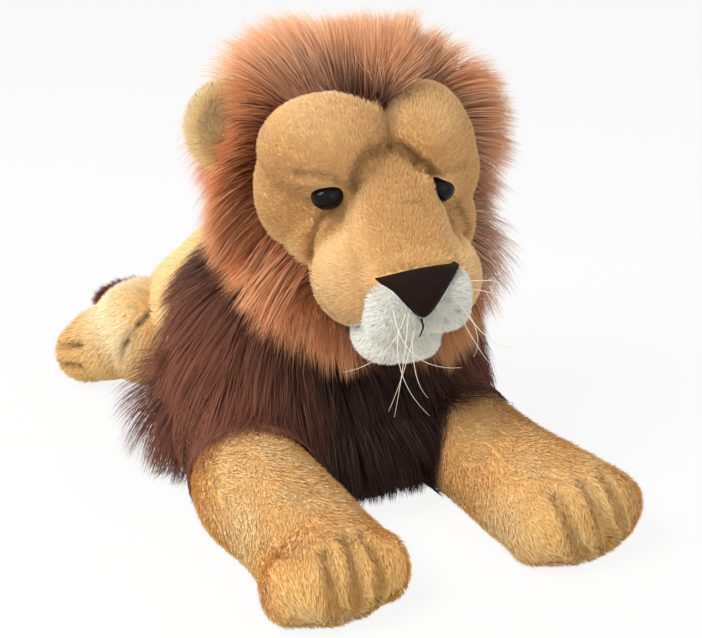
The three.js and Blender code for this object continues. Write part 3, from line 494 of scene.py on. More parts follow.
def add_thread(line, radius, taper):
    """A round thread along points in metres, its radius in millimetres, thinner at its end by the taper."""
    clear_selection()
    bpy.ops.curve.primitive_nurbs_path_add()
    thread = bpy.context.object
    thread.location = (0, 0, 0)
    spline = thread.data.splines
    spline.clear()
    path = spline.new("POLY")
    path.points.add(len(line) - 1)
    for point, at, share in zip(path.points, line, np.linspace(0, 1, len(line))):
        point.co = (*at, 1)
        point.radius = 1 - taper * share
    thread.data.bevel_depth = radius * MM
    thread.data.bevel_resolution = 2
    thread.data.use_fill_caps = True
    pick(thread)
    bpy.ops.object.convert(target="MESH")
    bpy.ops.object.shade_smooth()
    return bpy.context.object


def settle(piece, rounds):
    pick(piece)
    modifier = piece.modifiers.new("Settle", "SMOOTH")
    modifier.factor = 0.5
    modifier.iterations = rounds
    bpy.ops.object.modifier_apply(modifier=modifier.name)


def mould(name, parts, voxel, rounds):
    """Joins the parts, gives them one skin and lets it settle, as stuffing fills sewn cloth."""
    pick(*parts)
    if len(parts) > 1:
        bpy.ops.object.join()
    piece = bpy.context.object
    bpy.ops.object.transform_apply(location=True, rotation=True, scale=True)
    skin = piece.modifiers.new("Skin", "REMESH")
    skin.mode = "VOXEL"
    skin.voxel_size = voxel * MM
    bpy.ops.object.modifier_apply(modifier=skin.name)
    settle(piece, rounds)
    piece.name = name
    piece.data.name = name
    bpy.ops.object.shade_smooth()
    return piece


def points_of(piece):
    found = np.empty(len(piece.data.vertices) * 3, np.float32)
    piece.data.vertices.foreach_get("co", found)
    return found.reshape(-1, 3).astype(float)


def normals_of(piece):
    found = np.empty(len(piece.data.vertices) * 3, np.float32)
    piece.data.vertex_normals.foreach_get("vector", found)
    return found.reshape(-1, 3).astype(float)


def set_points(piece, points):
    piece.data.vertices.foreach_set("co", points.astype(np.float32).ravel())
    piece.data.update()


def flatten_floor(piece, height=CLOTH_FLOOR):
    points = points_of(piece)
    points[:, 2] = np.maximum(points[:, 2], height)
    set_points(piece, points)


def carve(piece, creases, in_head=False):
    """Presses the creases into the skin."""
    points = points_of(piece)
    normals = normals_of(piece)
    local = into_head(points) if in_head else points / MM
    for line, depth, width in creases:
        share = hill(near_line(local, line), 0, width)
        points -= normals * (share * depth * MM)[:, None]
    set_points(piece, points)


def laid_on(skin, creases, in_head=False):
    """The creases with their lines drawn on the skin."""
    tree = BVHTree.FromObject(skin, bpy.context.evaluated_depsgraph_get())
    quarters = (0, 0.25, 0.5, 0.75)
    found = []
    for line, depth, width in creases:
        line = np.array(line, float)
        legs = zip(line[:-1], line[1:])
        steps = [start + (end - start) * share for start, end in legs for share in quarters]
        fine = np.vstack([steps, line[-1:]])
        world = out_of_head(fine) if in_head else fine * MM
        world = np.array([tree.find_nearest(point)[0] for point in world])
        found.append((into_head(world) if in_head else world / MM, depth, width))
    return found


def push_out(points, centre, half):
    """Moves points that lie in an ellipsoid out to its surface. All in metres."""
    offset = (points - centre) / half
    reach = np.linalg.norm(offset, axis=-1, keepdims=True)
    return np.where(reach < 1, centre + offset / np.maximum(reach, 1e-6) * half, points)


def squarer(points, centre, half):
    """Fills an ellipsoid out towards its box."""
    power = 3.0
    offset = (points - centre) / half
    reach = np.maximum((np.abs(offset) ** power).sum(1) ** (1 / power), 1e-6)
    round_reach = np.linalg.norm(offset, axis=1)
    return centre + offset * (round_reach / reach)[:, None] * half


def nose_width(height):
    """How much wider than its ball the nose is at a height, from a point below to full width on top."""
    deep = NOSE_BALL[1][2]
    height = np.minimum(height, NOSE_TOP - 5)
    share = np.clip((height + deep) / (NOSE_TOP + deep), 0, 1)
    return (0.06 + 0.95 * share ** 0.95) / np.sqrt(np.clip(1 - (height / deep) ** 2, 0.3, 1))


def out_of_snout(points, room):
    """Keeps points clear of the skull and the muzzle."""
    shape = points.shape
    flat = push_out(points.reshape(-1, 3), HEAD_PLACE * MM, np.full(3, (SKULL_REACH + room) * MM))
    place, half = (np.array(value) for value in SNOUT_BALL)
    local = push_out(into_head(flat), place, half + room)
    return out_of_head(local).reshape(shape)


def add_to(piece, body, slot, *nodes, padded=None, finish=None):
    """The piece moves with a body, takes a finish and stands for CAD nodes."""
    if finish:
        dress(piece, finish)
    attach(piece, body)
    if nodes:
        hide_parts(*nodes)


# Pile


def sow(skin, count, rng, share):
    """Random places on a skin, as points and normals. share gives how thickly each place is sown."""
    mesh = skin.data
    mesh.calc_loop_triangles()
    corners = np.empty(len(mesh.loop_triangles) * 3, np.int32)
    mesh.loop_triangles.foreach_get("vertices", corners)
    corners = corners.reshape(-1, 3)
    points, normals = points_of(skin), normals_of(skin)
    a, b, c = (points[corners[:, k]] for k in range(3))
    weight = np.linalg.norm(np.cross(b - a, c - a), axis=1)
    middles = (a + b + c) / 3
    weight *= (middles[:, 2] > ROOT_FLOOR) * (share(middles) if share else 1.0)
    chosen = rng.choice(len(corners), count, p=weight / weight.sum())
    u, v = rng.random(count), rng.random(count)
    over = u + v > 1
    u[over], v[over] = 1 - u[over], 1 - v[over]
    mix = np.stack([1 - u - v, u, v], 1)[:, :, None]
    return (points[corners[chosen]] * mix).sum(1), unit((normals[corners[chosen]] * mix).sum(1))


def given(value, points):
    return value(points) if callable(value) else np.full(len(points), float(value))


def grow(points, normals, rng, comb, long, lift, steps, droop=0.0, lie=0.0, stray=0.12):
    """Strand lines from their roots.

    lift is the angle off the cloth in degrees, droop bends a strand down and lie bends it to the cloth.
    """
    count = len(points)
    along = unit(comb(points))
    along = unit(along - normals * (along * normals).sum(1)[:, None])
    angle = np.radians(given(lift, points) * rng.uniform(0.75, 1.25, count))[:, None]
    way = unit(along * np.cos(angle) + normals * np.sin(angle) + rng.normal(0, stray, (count, 3)))
    step = (given(long, points) * rng.uniform(0.8, 1.12, count) / steps)[:, None]
    fall = given(droop, points)[:, None]
    lines = [points]
    for k in range(steps):
        lines.append(lines[-1] + way * step)
        share = (k + 1) / steps
        way = unit(way + DOWN * fall * share / steps * 2 - normals * lie * share / steps * 2)
    return np.stack(lines, 1)


def lock(lines, rng, size, pull):
    """Draws strands together into locks: size is how many strands there are to a lock."""
    leads = rng.choice(len(lines), max(2, int(len(lines) / size)), replace=False)
    tree = KDTree(len(leads))
    anchors = lines[leads]
    for i, line in enumerate(anchors):
        tree.insert(line[0] * 0.6 + line[1] * 0.4, i)
    tree.balance()
    owner = np.array([tree.find(line[0] * 0.6 + line[1] * 0.4)[1] for line in lines])
    share = np.linspace(0, 1, lines.shape[1]) ** 1.2 * pull
    return lines + (anchors[owner] - lines) * share[None, :, None]


def clear_of(lines, skins, gap):
    """Lifts strands that run into other skins back out of them."""
    for skin in skins:
        tree = BVHTree.FromObject(skin, bpy.context.evaluated_depsgraph_get())
        low, high = points_of(skin).min(0) - gap, points_of(skin).max(0) + gap
        for k in range(1, lines.shape[1]):
            row = lines[:, k]
            inside = np.nonzero(((row > low) & (row < high)).all(1))[0]
            for i in inside:
                place, normal, _, _ = tree.find_nearest(row[i])
                height = (Vector(row[i]) - place).dot(normal)
                if -DEEPEST < height < gap:
                    row[i] = np.array(place + normal * gap)
    return lines


def weave(name, lines, normals, rng, width, marks, material, roll):
    """One mesh of flat tapering strands. Each strand has its own cell in the bake map."""
    count, rows = lines.shape[:2]
    steps = rows - 1
    tangents = unit(np.gradient(lines, axis=1))
    side = unit(np.cross(tangents, normals[:, None, :]))
    flat = unit(np.cross(side, tangents))
    turn = np.radians(rng.uniform(-roll, roll, count))[:, None, None]
    side = side * np.cos(turn) + flat * np.sin(turn)
    reach = np.linspace(0, 1, rows)
    profile = (1 - reach ** STRAND_TAPER) * 0.5
    spread = side * (width * rng.uniform(0.75, 1.25, count))[:, None, None] * profile[None, :, None]
    spine, spread = lines[:, :-1], spread[:, :-1]
    pairs = np.stack([spine - spread, spine + spread], 2).reshape(count, -1, 3)
    points = np.concatenate([pairs, lines[:, -1:]], 1)
    points[:, :, 2] = np.maximum(points[:, :, 2], STRAND_FLOOR)
    per = 2 * steps + 1
    faces = [(k, k + 1, k + 3, k + 2) for k in range(0, 2 * steps - 2, 2)] + [(per - 3, per - 2, per - 1)]
    loops = np.array([corner for face in faces for corner in face])
    starts = np.cumsum([0] + [len(face) for face in faces[:-1]])
    mesh = bpy.data.meshes.new(name)
    mesh.vertices.add(count * per)
    mesh.vertices.foreach_set("co", points.astype(np.float32).ravel())
    mesh.loops.add(count * len(loops))
    order = np.arange(count)[:, None]
    mesh.loops.foreach_set("vertex_index", (loops[None, :] + per * order).astype(np.int32).ravel())
    mesh.polygons.add(count * len(faces))
    mesh.polygons.foreach_set("loop_start", (starts[None, :] + len(loops) * order).astype(np.int32).ravel())
    mesh.polygons.foreach_set("use_smooth", np.ones(count * len(faces), bool))
    mesh.update(calc_edges=True)
    rise = np.append(np.repeat(reach[:-1], 2), 1.0)
    values = {"rise": np.tile(rise, count), "tint": np.repeat(rng.random(count), per)}
    for key, value in marks.items():
        values[key] = np.repeat(np.clip(value, 0, 1), per)
    for key, value in values.items():
        mesh.attributes.new(key, "FLOAT", "POINT").data.foreach_set("value", value.astype(np.float32))
    cells = math.ceil(math.sqrt(count))
    across = np.append(np.tile([0.08, 0.92], steps), 0.5)
    corner_uv = np.stack([across, rise * 0.84 + 0.08], 1)[loops]
    origin = np.stack([np.arange(count) % cells, np.arange(count) // cells], 1)
    uv = (origin[:, None, :] + corner_uv[None]) / cells
    mesh.uv_layers.new(name="OFBake").data.foreach_set("uv", uv.astype(np.float32).ravel())
    mesh.materials.append(material)
    piece = bpy.data.objects.new(name, mesh)
    bpy.context.scene.collection.objects.link(piece)
    return piece


def thin(count):
    """The strand count as a whole number, unchanged."""
    return int(count * (1))


def coat(name, body, slot, skin, *, seed, comb, long, lift, width, finish, marks, share=None, steps=2,
         droop=0.0, lie=0.0, stray=0.12, locks=(), skins=(), gap=0.004, fix=None, parts=1, roll=30):
    """Pile for one skin, in one or more pieces that move with a body.

    long, lift, width and droop are numbers or functions of the roots. share says how thickly the pile is
    sown, fix changes the strands once they are grown, and they are kept a gap clear of the other skins.
    """
    rng = np.random.default_rng(seed)
    points, normals = sow(skin, thin(STRANDS[name]), rng, share)
    lines = grow(points, normals, rng, comb, long, lift, steps, droop, lie, stray)
    for size, pull in locks:
        lines = lock(lines, rng, size, pull)
    if fix:
        lines = fix(lines)
    lines = clear_of(lines, skins, gap)
    wide = given(width, points) * 1
    found = marks(points)
    pieces = []
    for part in range(parts):
        chosen = np.arange(part, len(lines), parts)
        label = name if parts == 1 else f"{name}_{part + 1}"
        pile = weave(
            label, lines[chosen], normals[chosen], rng, wide[chosen],
            {key: value[chosen] for key, value in found.items()}, finish, roll,
        )
        add_to(pile, body, slot)
        pieces.append(pile)
    return pieces


# Materials


class Tone:
    """A shader socket that can stand in a sum."""

    def __init__(self, recipe, socket):
        self.recipe = recipe
        self.socket = socket

    def maths(self, operation, first, second):
        return self.recipe.node("ShaderNodeMath", {"operation": operation}, {0: first, 1: second})

    def __add__(self, other):
        return self.maths("ADD", self, other)

    def __sub__(self, other):
        return self.maths("SUBTRACT", self, other)

    def __rsub__(self, other):
        return self.maths("SUBTRACT", other, self)

    def __mul__(self, other):
        return self.maths("MULTIPLY", self, other)

    def __pow__(self, other):
        return self.maths("POWER", self, other)

    __radd__ = __add__
    __rmul__ = __mul__


class Recipe:
    """The nodes of a material or a world."""

    def __init__(self, owner):
        owner.use_nodes = True
        self.owner = owner
        self.tree = owner.node_tree
        self.tree.nodes.clear()

    @classmethod
    def material(cls, name):
        return cls(bpy.data.materials.new(name))

    def node(self, kind, settings=None, sockets=None, out=0):
        node = self.tree.nodes.new(kind)
        for key, value in (settings or {}).items():
            setattr(node, key, value)
        for key, value in (sockets or {}).items():
            if isinstance(value, Tone):
                self.tree.links.new(value.socket, node.inputs[key])
            else:
                node.inputs[key].default_value = value
        return Tone(self, node.outputs[out])

    def attribute(self, name):
        return self.node("ShaderNodeAttribute", {"attribute_name": name}, out="Fac")

    def place(self):
        return self.node("ShaderNodeTexCoord", out="Object")

    def noise(self, scale, detail=3.0):
        sockets = {"Vector": self.place(), "Scale": scale, "Detail": detail, "Roughness": 0.55}
        return self.node("ShaderNodeTexNoise", {}, sockets)

    def blend(self, factor, first, second):
        sockets = {"Factor": factor, 6: first, 7: second}
        return self.node("ShaderNodeMix", {"data_type": "RGBA"}, sockets, out=2)

    def seen_by(self, *rays):
        """1 where any of these kinds of ray looks, 0 elsewhere."""
        found = self.node("ShaderNodeLightPath", out=rays[0])
        for ray in rays[1:]:
            found = found.maths("MAXIMUM", found, self.node("ShaderNodeLightPath", out=ray))
        return found

    def scaled(self, shade, factor):
        return self.node("ShaderNodeVectorMath", {"operation": "SCALE"}, {0: shade, "Scale": factor})

    def bump(self, height, strength, distance):
        sockets = {"Height": height, "Strength": strength, "Distance": distance}
        return self.node("ShaderNodeBump", {}, sockets, out="Normal")

    def finish(self, **sockets):
        named = {key.replace("_", " "): value for key, value in sockets.items()}
        return self.close(self.node("ShaderNodeBsdfPrincipled", {}, named), "ShaderNodeOutputMaterial")

    def close(self, shader, output):
        self.tree.links.new(shader.socket, self.tree.nodes.new(output).inputs["Surface"])
        return self.owner


def pile_finish(name, root, tip, pale, dark, contrast, patches=14.0, roughness=0.7, sheen=0.25, deep=False,
                white=None):
    """Strands that lighten from root to tip, each a little different, with pale and dark places."""
    recipe = Recipe.material(name)
    rise = recipe.attribute("rise")
    # Darker roots are partly the pile's own colour and partly painted shade down among the strands.
    shade = recipe.blend(rise ** 0.8, root, tip)
    if pale is not None:
        shade = recipe.blend(recipe.attribute("pale"), shade, pale)
    shade = recipe.blend(recipe.attribute("dark"), shade, dark)
    # The deep mark darkens the roots towards the dark colour: partly the mane's own brown roots, partly
    # painted shade in the recess by the face.
    if deep:
        shade = recipe.blend(recipe.attribute("deep") * (1 - rise * 1.4), shade, dark)
    if white is not None:
        shade = recipe.blend(recipe.attribute("white"), shade, white)
    cloud = recipe.noise(patches)
    factor = recipe.attribute("tint") * contrast + cloud * 0.24 + (1.0 - contrast / 2 - 0.12)
    return recipe.finish(
        Base_Color=recipe.scaled(shade, factor), Roughness=roughness, Specular_IOR_Level=0.25,
        Sheen_Weight=sheen, Sheen_Roughness=0.4,
    )


def dim(shade, share):
    return (*(value * share for value in shade[:3]), 1.0)


def cloth_finish(name, shade, deep, scale=900.0, bump=0.3, roughness=0.9):
    """Knitted backing cloth."""
    recipe = Recipe.material(name)
    cloud = recipe.noise(24.0)
    knit = recipe.noise(scale, 1.0)
    mixed = recipe.blend(cloud * 0.6 + knit * 0.4, deep, shade)
    return recipe.finish(
        Base_Color=mixed, Roughness=roughness, Specular_IOR_Level=0.2, Sheen_Weight=0.2,
        Normal=recipe.bump(knit, bump, 0.0006),
    )


class Finishes:
    """The materials, made once and shared by the pieces."""

    def __init__(self, tones):
        def shades(kind):
            return [getattr(tones, f"{kind}_{part}") for part in ("root", "tip", "pale", "dark")]

        browns = (tones.brown_root, tones.brown_tip, tones.rust_root, tones.brown_dark)
        whites = (tones.white_root, tones.white_tip, None, tones.white_dot)
        self.gold = pile_finish("golden_pile", *shades("gold"), 0.16)
        self.face = pile_finish("face_pile", *shades("face"), 0.14, white=tones.white_tip)
        self.rust = pile_finish("rust_pile", *shades("rust"), 0.28, 20.0, 0.55, deep=True)
        self.brown = pile_finish("brown_pile", *browns, 0.35, 20.0, 0.65, sheen=0.04)
        self.white = pile_finish("white_pile", *whites, 0.15, 30.0, 0.8)
        self.gold_cloth = cloth_finish("golden_cloth", tones.gold_tip, tones.gold_root)
        self.face_cloth = cloth_finish("face_cloth", tones.face_tip, tones.face_root)
        self.brown_cloth = cloth_finish("brown_cloth", tones.brown_root, tones.brown_dark)
        self.white_cloth = cloth_finish("white_cloth", tones.white_tip, tones.white_root)
        self.sole = cloth_finish("sole_cloth", tones.sole, tones.gold_root, 1400.0, 0.5)
        self.thread = cloth_finish("sewing_thread", tones.thread, tones.brown_dark, 2600.0, 0.6, 0.6)
        self.nose = self.velvet(tones)
        self.eye = self.gloss(tones)
        self.whisker = self.nylon(tones)
        self.washer = self.plastic(tones)
        self.filling = cloth_finish("fibre_filling", tones.white_tip, tones.white_root, 300.0, 0.8)

    @staticmethod
    def velvet(tones):
        recipe = Recipe.material("nose_velvet")
        drawn = recipe.node("ShaderNodeMapping", {}, {"Vector": recipe.place(), "Scale": (1.0, 1.0, 0.25)})
        nap = recipe.node("ShaderNodeTexNoise", {}, {"Vector": drawn, "Scale": 1500.0, "Detail": 2.0})
        cloud = recipe.noise(60.0)
        shade = recipe.blend(cloud * 0.7 + nap * 0.3, dim(tones.nose, 0.45), tones.nose)
        return recipe.finish(
            Base_Color=shade, Roughness=recipe.noise(90.0) * 0.2 + 0.6, Specular_IOR_Level=0.12,
            Normal=recipe.bump(nap, 0.35, 0.0004), Sheen_Weight=0.02, Sheen_Roughness=0.4,
        )

    @staticmethod
    def gloss(tones):
        recipe = Recipe.material("eye_plastic")
        depth = recipe.noise(160.0)
        shade = recipe.blend(depth, dim(tones.eye, 0.6), tones.eye)
        return recipe.finish(
            Base_Color=shade, Roughness=recipe.noise(500.0) * 0.06 + 0.12, Specular_IOR_Level=0.18, IOR=1.45,
        )

    @staticmethod
    def nylon(tones):
        recipe = Recipe.material("whisker_nylon")
        shade = recipe.blend(recipe.noise(240.0), dim(tones.whisker, 0.9), tones.whisker)
        return recipe.finish(Base_Color=shade, Roughness=recipe.noise(800.0) * 0.1 + 0.25, IOR=1.53)

    @staticmethod
    def plastic(tones):
        recipe = Recipe.material("washer_plastic")
        grain = recipe.noise(700.0)
        shade = recipe.blend(grain, dim(tones.plastic, 0.92), tones.plastic)
        bump = recipe.bump(grain, 0.1, 0.0003)
        return recipe.finish(Base_Color=shade, Roughness=grain * 0.15 + 0.4, Normal=bump)


FINISH = {}


def finishes():
    if not FINISH:
        FINISH["all"] = Finishes(bpy.context.scene.lion_colours)
    return FINISH["all"]


def dress(piece, material):
    piece.data.materials.clear()
    piece.data.materials.append(material)


def pile_sizes():
    return bpy.context.scene.lion_pile


# What the pile leaves free, which way it is combed and where its colour changes


def covered_by(skin, room, reach=0.009):
    """A function that tells which points lie under a skin or nearer than room above it, in metres."""
    tree = BVHTree.FromObject(skin, bpy.context.evaluated_depsgraph_get())

    def covered(points):
        found = []
        for point in points:
            place, normal, _, gap = tree.find_nearest(point)
            found.append(gap < reach and (Vector(point) - place).dot(normal) < room)
        return np.array(found)
    return covered


def comb_torso(points):
    way = np.tile([0.0, 1.0, -0.25], (len(points), 1))
    way[:, 0] = 0.35 * np.sign(points[:, 0])
    return way + ripple(points, 0.05, 3)[:, None] * np.array([0.15, 0, 0.15])


def comb_leg(points):
    way = np.tile([0.0, -1.0, -0.35], (len(points), 1))
    return way + ripple(points, 0.035, 4)[:, None] * np.array([0.35, 0, 0.2])


def comb_hind(points):
    way = np.tile([0.0, 0.5, -0.8], (len(points), 1))
    way[:, 0] = 0.5 * np.sign(points[:, 0])
    return way + ripple(points, 0.03, 5)[:, None] * 0.2


def comb_face(points):
    local = into_head(points)
    away = unit(local - np.array(FACE_WHORL))
    away[:, 2] += 0.25
    return away @ HEAD_SPIN.T


def turn_from_up(local):
    return np.degrees(np.arctan2(np.abs(local[:, 0]), local[:, 2] + 4))


def behind_face(local):
    """How far a place lies behind the edge of the face, in millimetres."""
    table = np.array(FACE_EDGE, float)
    return local[:, 1] - np.interp(turn_from_up(local), table[:, 0], table[:, 1])


def comb_mane(points):
    local = into_head(points)
    around = unit(local * np.array([1, 0, 1.0]))
    angle = turn_from_up(local)
    back = np.interp(angle, [0, 40, 60, 85, 110, 180], [0.9, 0.6, 0.15, 0.2, 0.3, 0.15])
    back = np.where(behind_face(local) > 22, np.maximum(back, 0.5), back)
    fall = np.interp(angle, [0, 50, 75, 100, 130, 180], [0.0, 0.1, 0.5, 1.2, 1.5, 1.4])
    right = smooth_step(20, 60, local[:, 0]) * smooth_step(70, 95, angle)
    by_ear = hill(angle, 64, 20) * (behind_face(local) < 16)
    back = back * (1 - by_ear) - by_ear * 1.4 + right * 0.35
    fall = fall + right * 0.2
    rear = smooth_step(40, 75, local[:, 1])[:, None]
    way = around * (1 - rear) + np.array([0, 1, 0]) * back[:, None] + DOWN * (fall[:, None] + rear)
    return way @ HEAD_SPIN.T


def comb_bib(points):
    centre = np.array([0.008, -0.02, 0.15])
    away = unit((points - centre) * np.array([1, 0.6, 0.15]))
    spread = np.interp(points[:, 2], [0.0, 0.12, 0.22], [0.24, 0.14, 0.06])
    return away * spread[:, None] + DOWN * 1.0 + ripple(points, 0.06, 8)[:, None] * np.array([0.12, 0.12, 0])


def comb_tail(points):
    return np.tile([-0.8, 0.4, 0.1], (len(points), 1))


def body_marks(points):
    local = points / MM
    # Painted highlight: the torso's pile turns paler higher up, towards its lit top. The random pale clouds
    # are real cream patches.
    high = smooth_step(40, 170, local[:, 2]) * 0.35
    return {"pale": high + np.clip(ripple(local, 45, 21), 0, 1) * 0.25, "dark": np.zeros(len(points))}


def leg_marks(points, creases=(), patches=()):
    local = points / MM
    # The random pale clouds are real paler patches. Paler pile near the floor is painted light over the shade
    # along the bottom, and paler pile high up is a painted highlight on the tops of the legs.
    pale = np.clip(ripple(local, 30, 22), 0, 1) * 0.25 + (1 - smooth_step(8, 18, local[:, 2])) * 0.5
    pale = pale + smooth_step(45, 85, local[:, 2]) * 0.3
    for place, half, strength in patches:
        pale = np.maximum(pale, spot(local, place, half) * strength)
    return {"pale": pale, "dark": crease_share(local, creases, 1.2) * 0.95}


def face_marks(points, creases):
    local = into_head(points)
    # Painted highlight: the pile is paler on the tops of the brows, where the light falls.
    brow = spot(local, (-40, -60, 62), (46, 60, 30)) + spot(local, (42, -60, 62), (46, 60, 30))
    sides = smooth_step(24, 44, np.abs(local[:, 0] - 6)) * smooth_step(-66, -100, local[:, 1]) * 0.6
    rim = smooth_step(-26, -6, behind_face(local)) * 0.6
    white = np.max([smooth_step(0, 0.08, spot(local, place, half)) for place, half in WHITE_PLACES], 0)
    dark = 0
    for first, last, widen, depth in CREASE_SHADES:
        dark = dark + crease_share(local, creases[first:last], widen) * depth
    pale = brow * 0.5 + sides + rim
    return {"pale": np.clip(pale, 0, 0.9), "white": white, "dark": np.clip(dark, 0, 1) * (1 - white)}


def mane_marks(points):
    local = into_head(points)
    # Along the face edge the roots are darkened: partly the mane's own brown roots, partly painted shade in
    # the recess where the mane meets the face.
    front = hill(behind_face(local), 0, 12)
    centre = hill(local[:, 0], 4, 34) * smooth_step(10, 60, local[:, 2])
    below = smooth_step(-60, -95, local[:, 2]) * hill(local[:, 0], 6, 34)
    # Painted highlight: the mane turns paler towards its top and on the lion's left side.
    edge = smooth_step(40, 90, local[:, 0]) * 0.5 + smooth_step(10, 110, local[:, 2]) * 0.5
    dark = below * 0.9 + smooth_step(10, -60, local[:, 2]) * 0.14
    return {"pale": edge, "dark": dark, "deep": np.clip(front * (0.35 + centre), 0, 1)}


def bib_marks(points):
    local = points / MM
    low = 1 - smooth_step(20, 110, local[:, 2])
    middle = hill(local[:, 0], 2, 84)
    left = smooth_step(-30, -110, local[:, 0])
    dark = np.clip(low * 0.35 + middle * 1.1, 0, 1) * (1 - 0.6 * left)
    return {"dark": dark, "pale": left * smooth_step(60, 160, local[:, 2]) * 0.2}


# Operators, one for each piece or group of like pieces


class LION_OT_torso(bpy.types.Operator):
    """Stuffs the torso and gives it golden pile"""
    bl_idname = "lion.torso"
    bl_label = "Torso"

    def execute(self, context):
        shrink = 5
        parts = [add_tube(TORSO_ROWS, shrink), *add_ends(TORSO_ROWS, (34, 34), shrink)]
        skin = mould("torso_cloth", parts, voxel=5, rounds=8)
        flatten_floor(skin)
        add_to(
            skin, "torso", "golden_plush", "torso_skin", "torso_filling",
            padded=0.8, finish=finishes().gold_cloth,
        )
        sizes = pile_sizes()

        def share(points):
            return 0.15 + smooth_step(-0.02, 0.05, points[:, 1])

        coat("torso_pile", "torso", "golden_plush", skin, seed=11, comb=comb_torso, long=sizes.gold_length,
             lift=38, width=sizes.short_width, finish=finishes().gold, marks=body_marks, share=share)
        return {"FINISHED"}


class LION_OT_front_legs(bpy.types.Operator):
    """Stuffs the two front legs with their toes, pile and soles"""
    bl_idname = "lion.front_legs"
    bl_label = "Front legs"

    def execute(self, context):
        shrink = 5
        sizes = pile_sizes()
        for number, (name, rows) in enumerate(LEG_ROWS.items()):
            parts = [add_tube(rows, shrink), *add_ends(rows, (20, 26), shrink)]
            parts.append(add_ball(SHOULDER_PLACES[name], SHOULDER_HALF, shrink=shrink))
            parts += [add_ball(place, half, shrink=shrink) for place, half in TOES[name]]
            skin = mould(name + "_cloth", parts, voxel=3.5, rounds=8)
            creases = laid_on(skin, PAW_CREASES[name])
            carve(skin, creases)
            settle(skin, 1)
            flatten_floor(skin)
            add_to(
                skin, name, "golden_plush", name + "_skin", name + "_filling",
                padded=0.75, finish=finishes().gold_cloth,
            )

            def long(points, creases=creases):
                return sizes.gold_length * (1 - 0.6 * crease_share(points / MM, creases, 0.8))

            def marks(points, creases=creases, pale=PALE_PATCHES[name]):
                return leg_marks(points, creases[:3], pale)

            coat(name + "_pile", name, "golden_plush", skin, seed=31 + number, comb=comb_leg, long=long,
                 lift=32, width=sizes.short_width, finish=finishes().gold, marks=marks, lie=0.3, stray=0.08)
        return {"FINISHED"}


class LION_OT_hind_legs(bpy.types.Operator):
    """Stuffs the two hind legs, tucked beside the rump"""
    bl_idname = "lion.hind_legs"
    bl_label = "Hind legs"

    def execute(self, context):
        sizes = pile_sizes()
        for side, way in SIDES.items():
            name = "hind_leg_" + side
            parts = [
                add_ball((way * place[0], *place[1:]), half, (0, math.radians(way * tilt), 0), 5)
                for place, half, tilt in HIND_BALLS
            ]
            skin = mould(name + "_cloth", parts, voxel=4, rounds=8)
            creases = [
                ([(way * -x, y, z) for x, y, z in line], depth, width) for line, depth, width in HIND_CREASES
            ]
            carve(skin, creases)
            flatten_floor(skin)
            add_to(
                skin, name, "golden_plush", name + "_skin", name + "_filling",
                padded=0.75, finish=finishes().gold_cloth,
            )

            def marks(points, creases=creases, way=way):
                found = leg_marks(points, creases, [((way * 114, 158, 86), (64, 68, 68), 1.5)])
                foot = spot(points / MM, (way * 162, 196, 30), (36, 50, 50))
                return {"pale": found["pale"] * (1 - foot), "dark": np.maximum(found["dark"], foot * 0.16)}

            coat(name + "_pile", name, "golden_plush", skin, seed=41 + way, comb=comb_hind,
                 long=sizes.gold_length, lift=38, width=sizes.short_width, finish=finishes().gold,
                 marks=marks, lie=0.3)
        return {"FINISHED"}


class LION_OT_soles(bpy.types.Operator):
    """Makes the cloth soles under the four paws"""
    bl_idname = "lion.soles"
    bl_label = "Soles"

    def execute(self, context):
        for name in ("front_leg_right", "front_leg_left", "hind_leg_right", "hind_leg_left"):
            low, high = (np.array(corner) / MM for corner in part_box(name + "_sole"))
            middle, half = (low + high) / 2, (high - low) / 2
            share = 0.78 if name.startswith("hind") else 0.94
            pad = add_ball((middle[0], middle[1], 2.5), (half[0] * share, half[1] * share, 5))
            skin = mould(name + "_sole_cloth", [pad], voxel=1.6, rounds=4)
            flatten_floor(skin, 0.0)
            add_to(skin, name, "sole_cloth", name + "_sole", padded=0.4, finish=finishes().sole)
        return {"FINISHED"}


class LION_OT_nose(bpy.types.Operator):
    """Makes the velvet nose and the mouth stitch under it"""
    bl_idname = "lion.nose"
    bl_label = "Nose"

    def execute(self, context):
        nose = mould("nose_velvet", [add_head_ball(*NOSE_BALL)], voxel=1.8, rounds=3)
        local = into_head(points_of(nose)) - np.array(NOSE_BALL[0])
        local[:, 0] *= nose_width(local[:, 2])
        local[:, 2] = np.minimum(local[:, 2], NOSE_TOP - NOSE_BEND * local[:, 0] ** 2)
        local[:, 1] -= (NOSE_TOP - local[:, 2]) * NOSE_AHEAD
        local[:, 2] += local[:, 0] * NOSE_TILT
        set_points(nose, out_of_head(local + np.array(NOSE_BALL[0])))
        settle(nose, 4)
        stitch = add_thread(out_of_head(finer(MOUTH_LINE)), 0.9, 0.5)
        pick(nose, stitch)
        bpy.ops.object.join()
        add_to(nose, "head", "nose_cloth", "nose", padded=0.8, finish=finishes().nose)
        return {"FINISHED"}


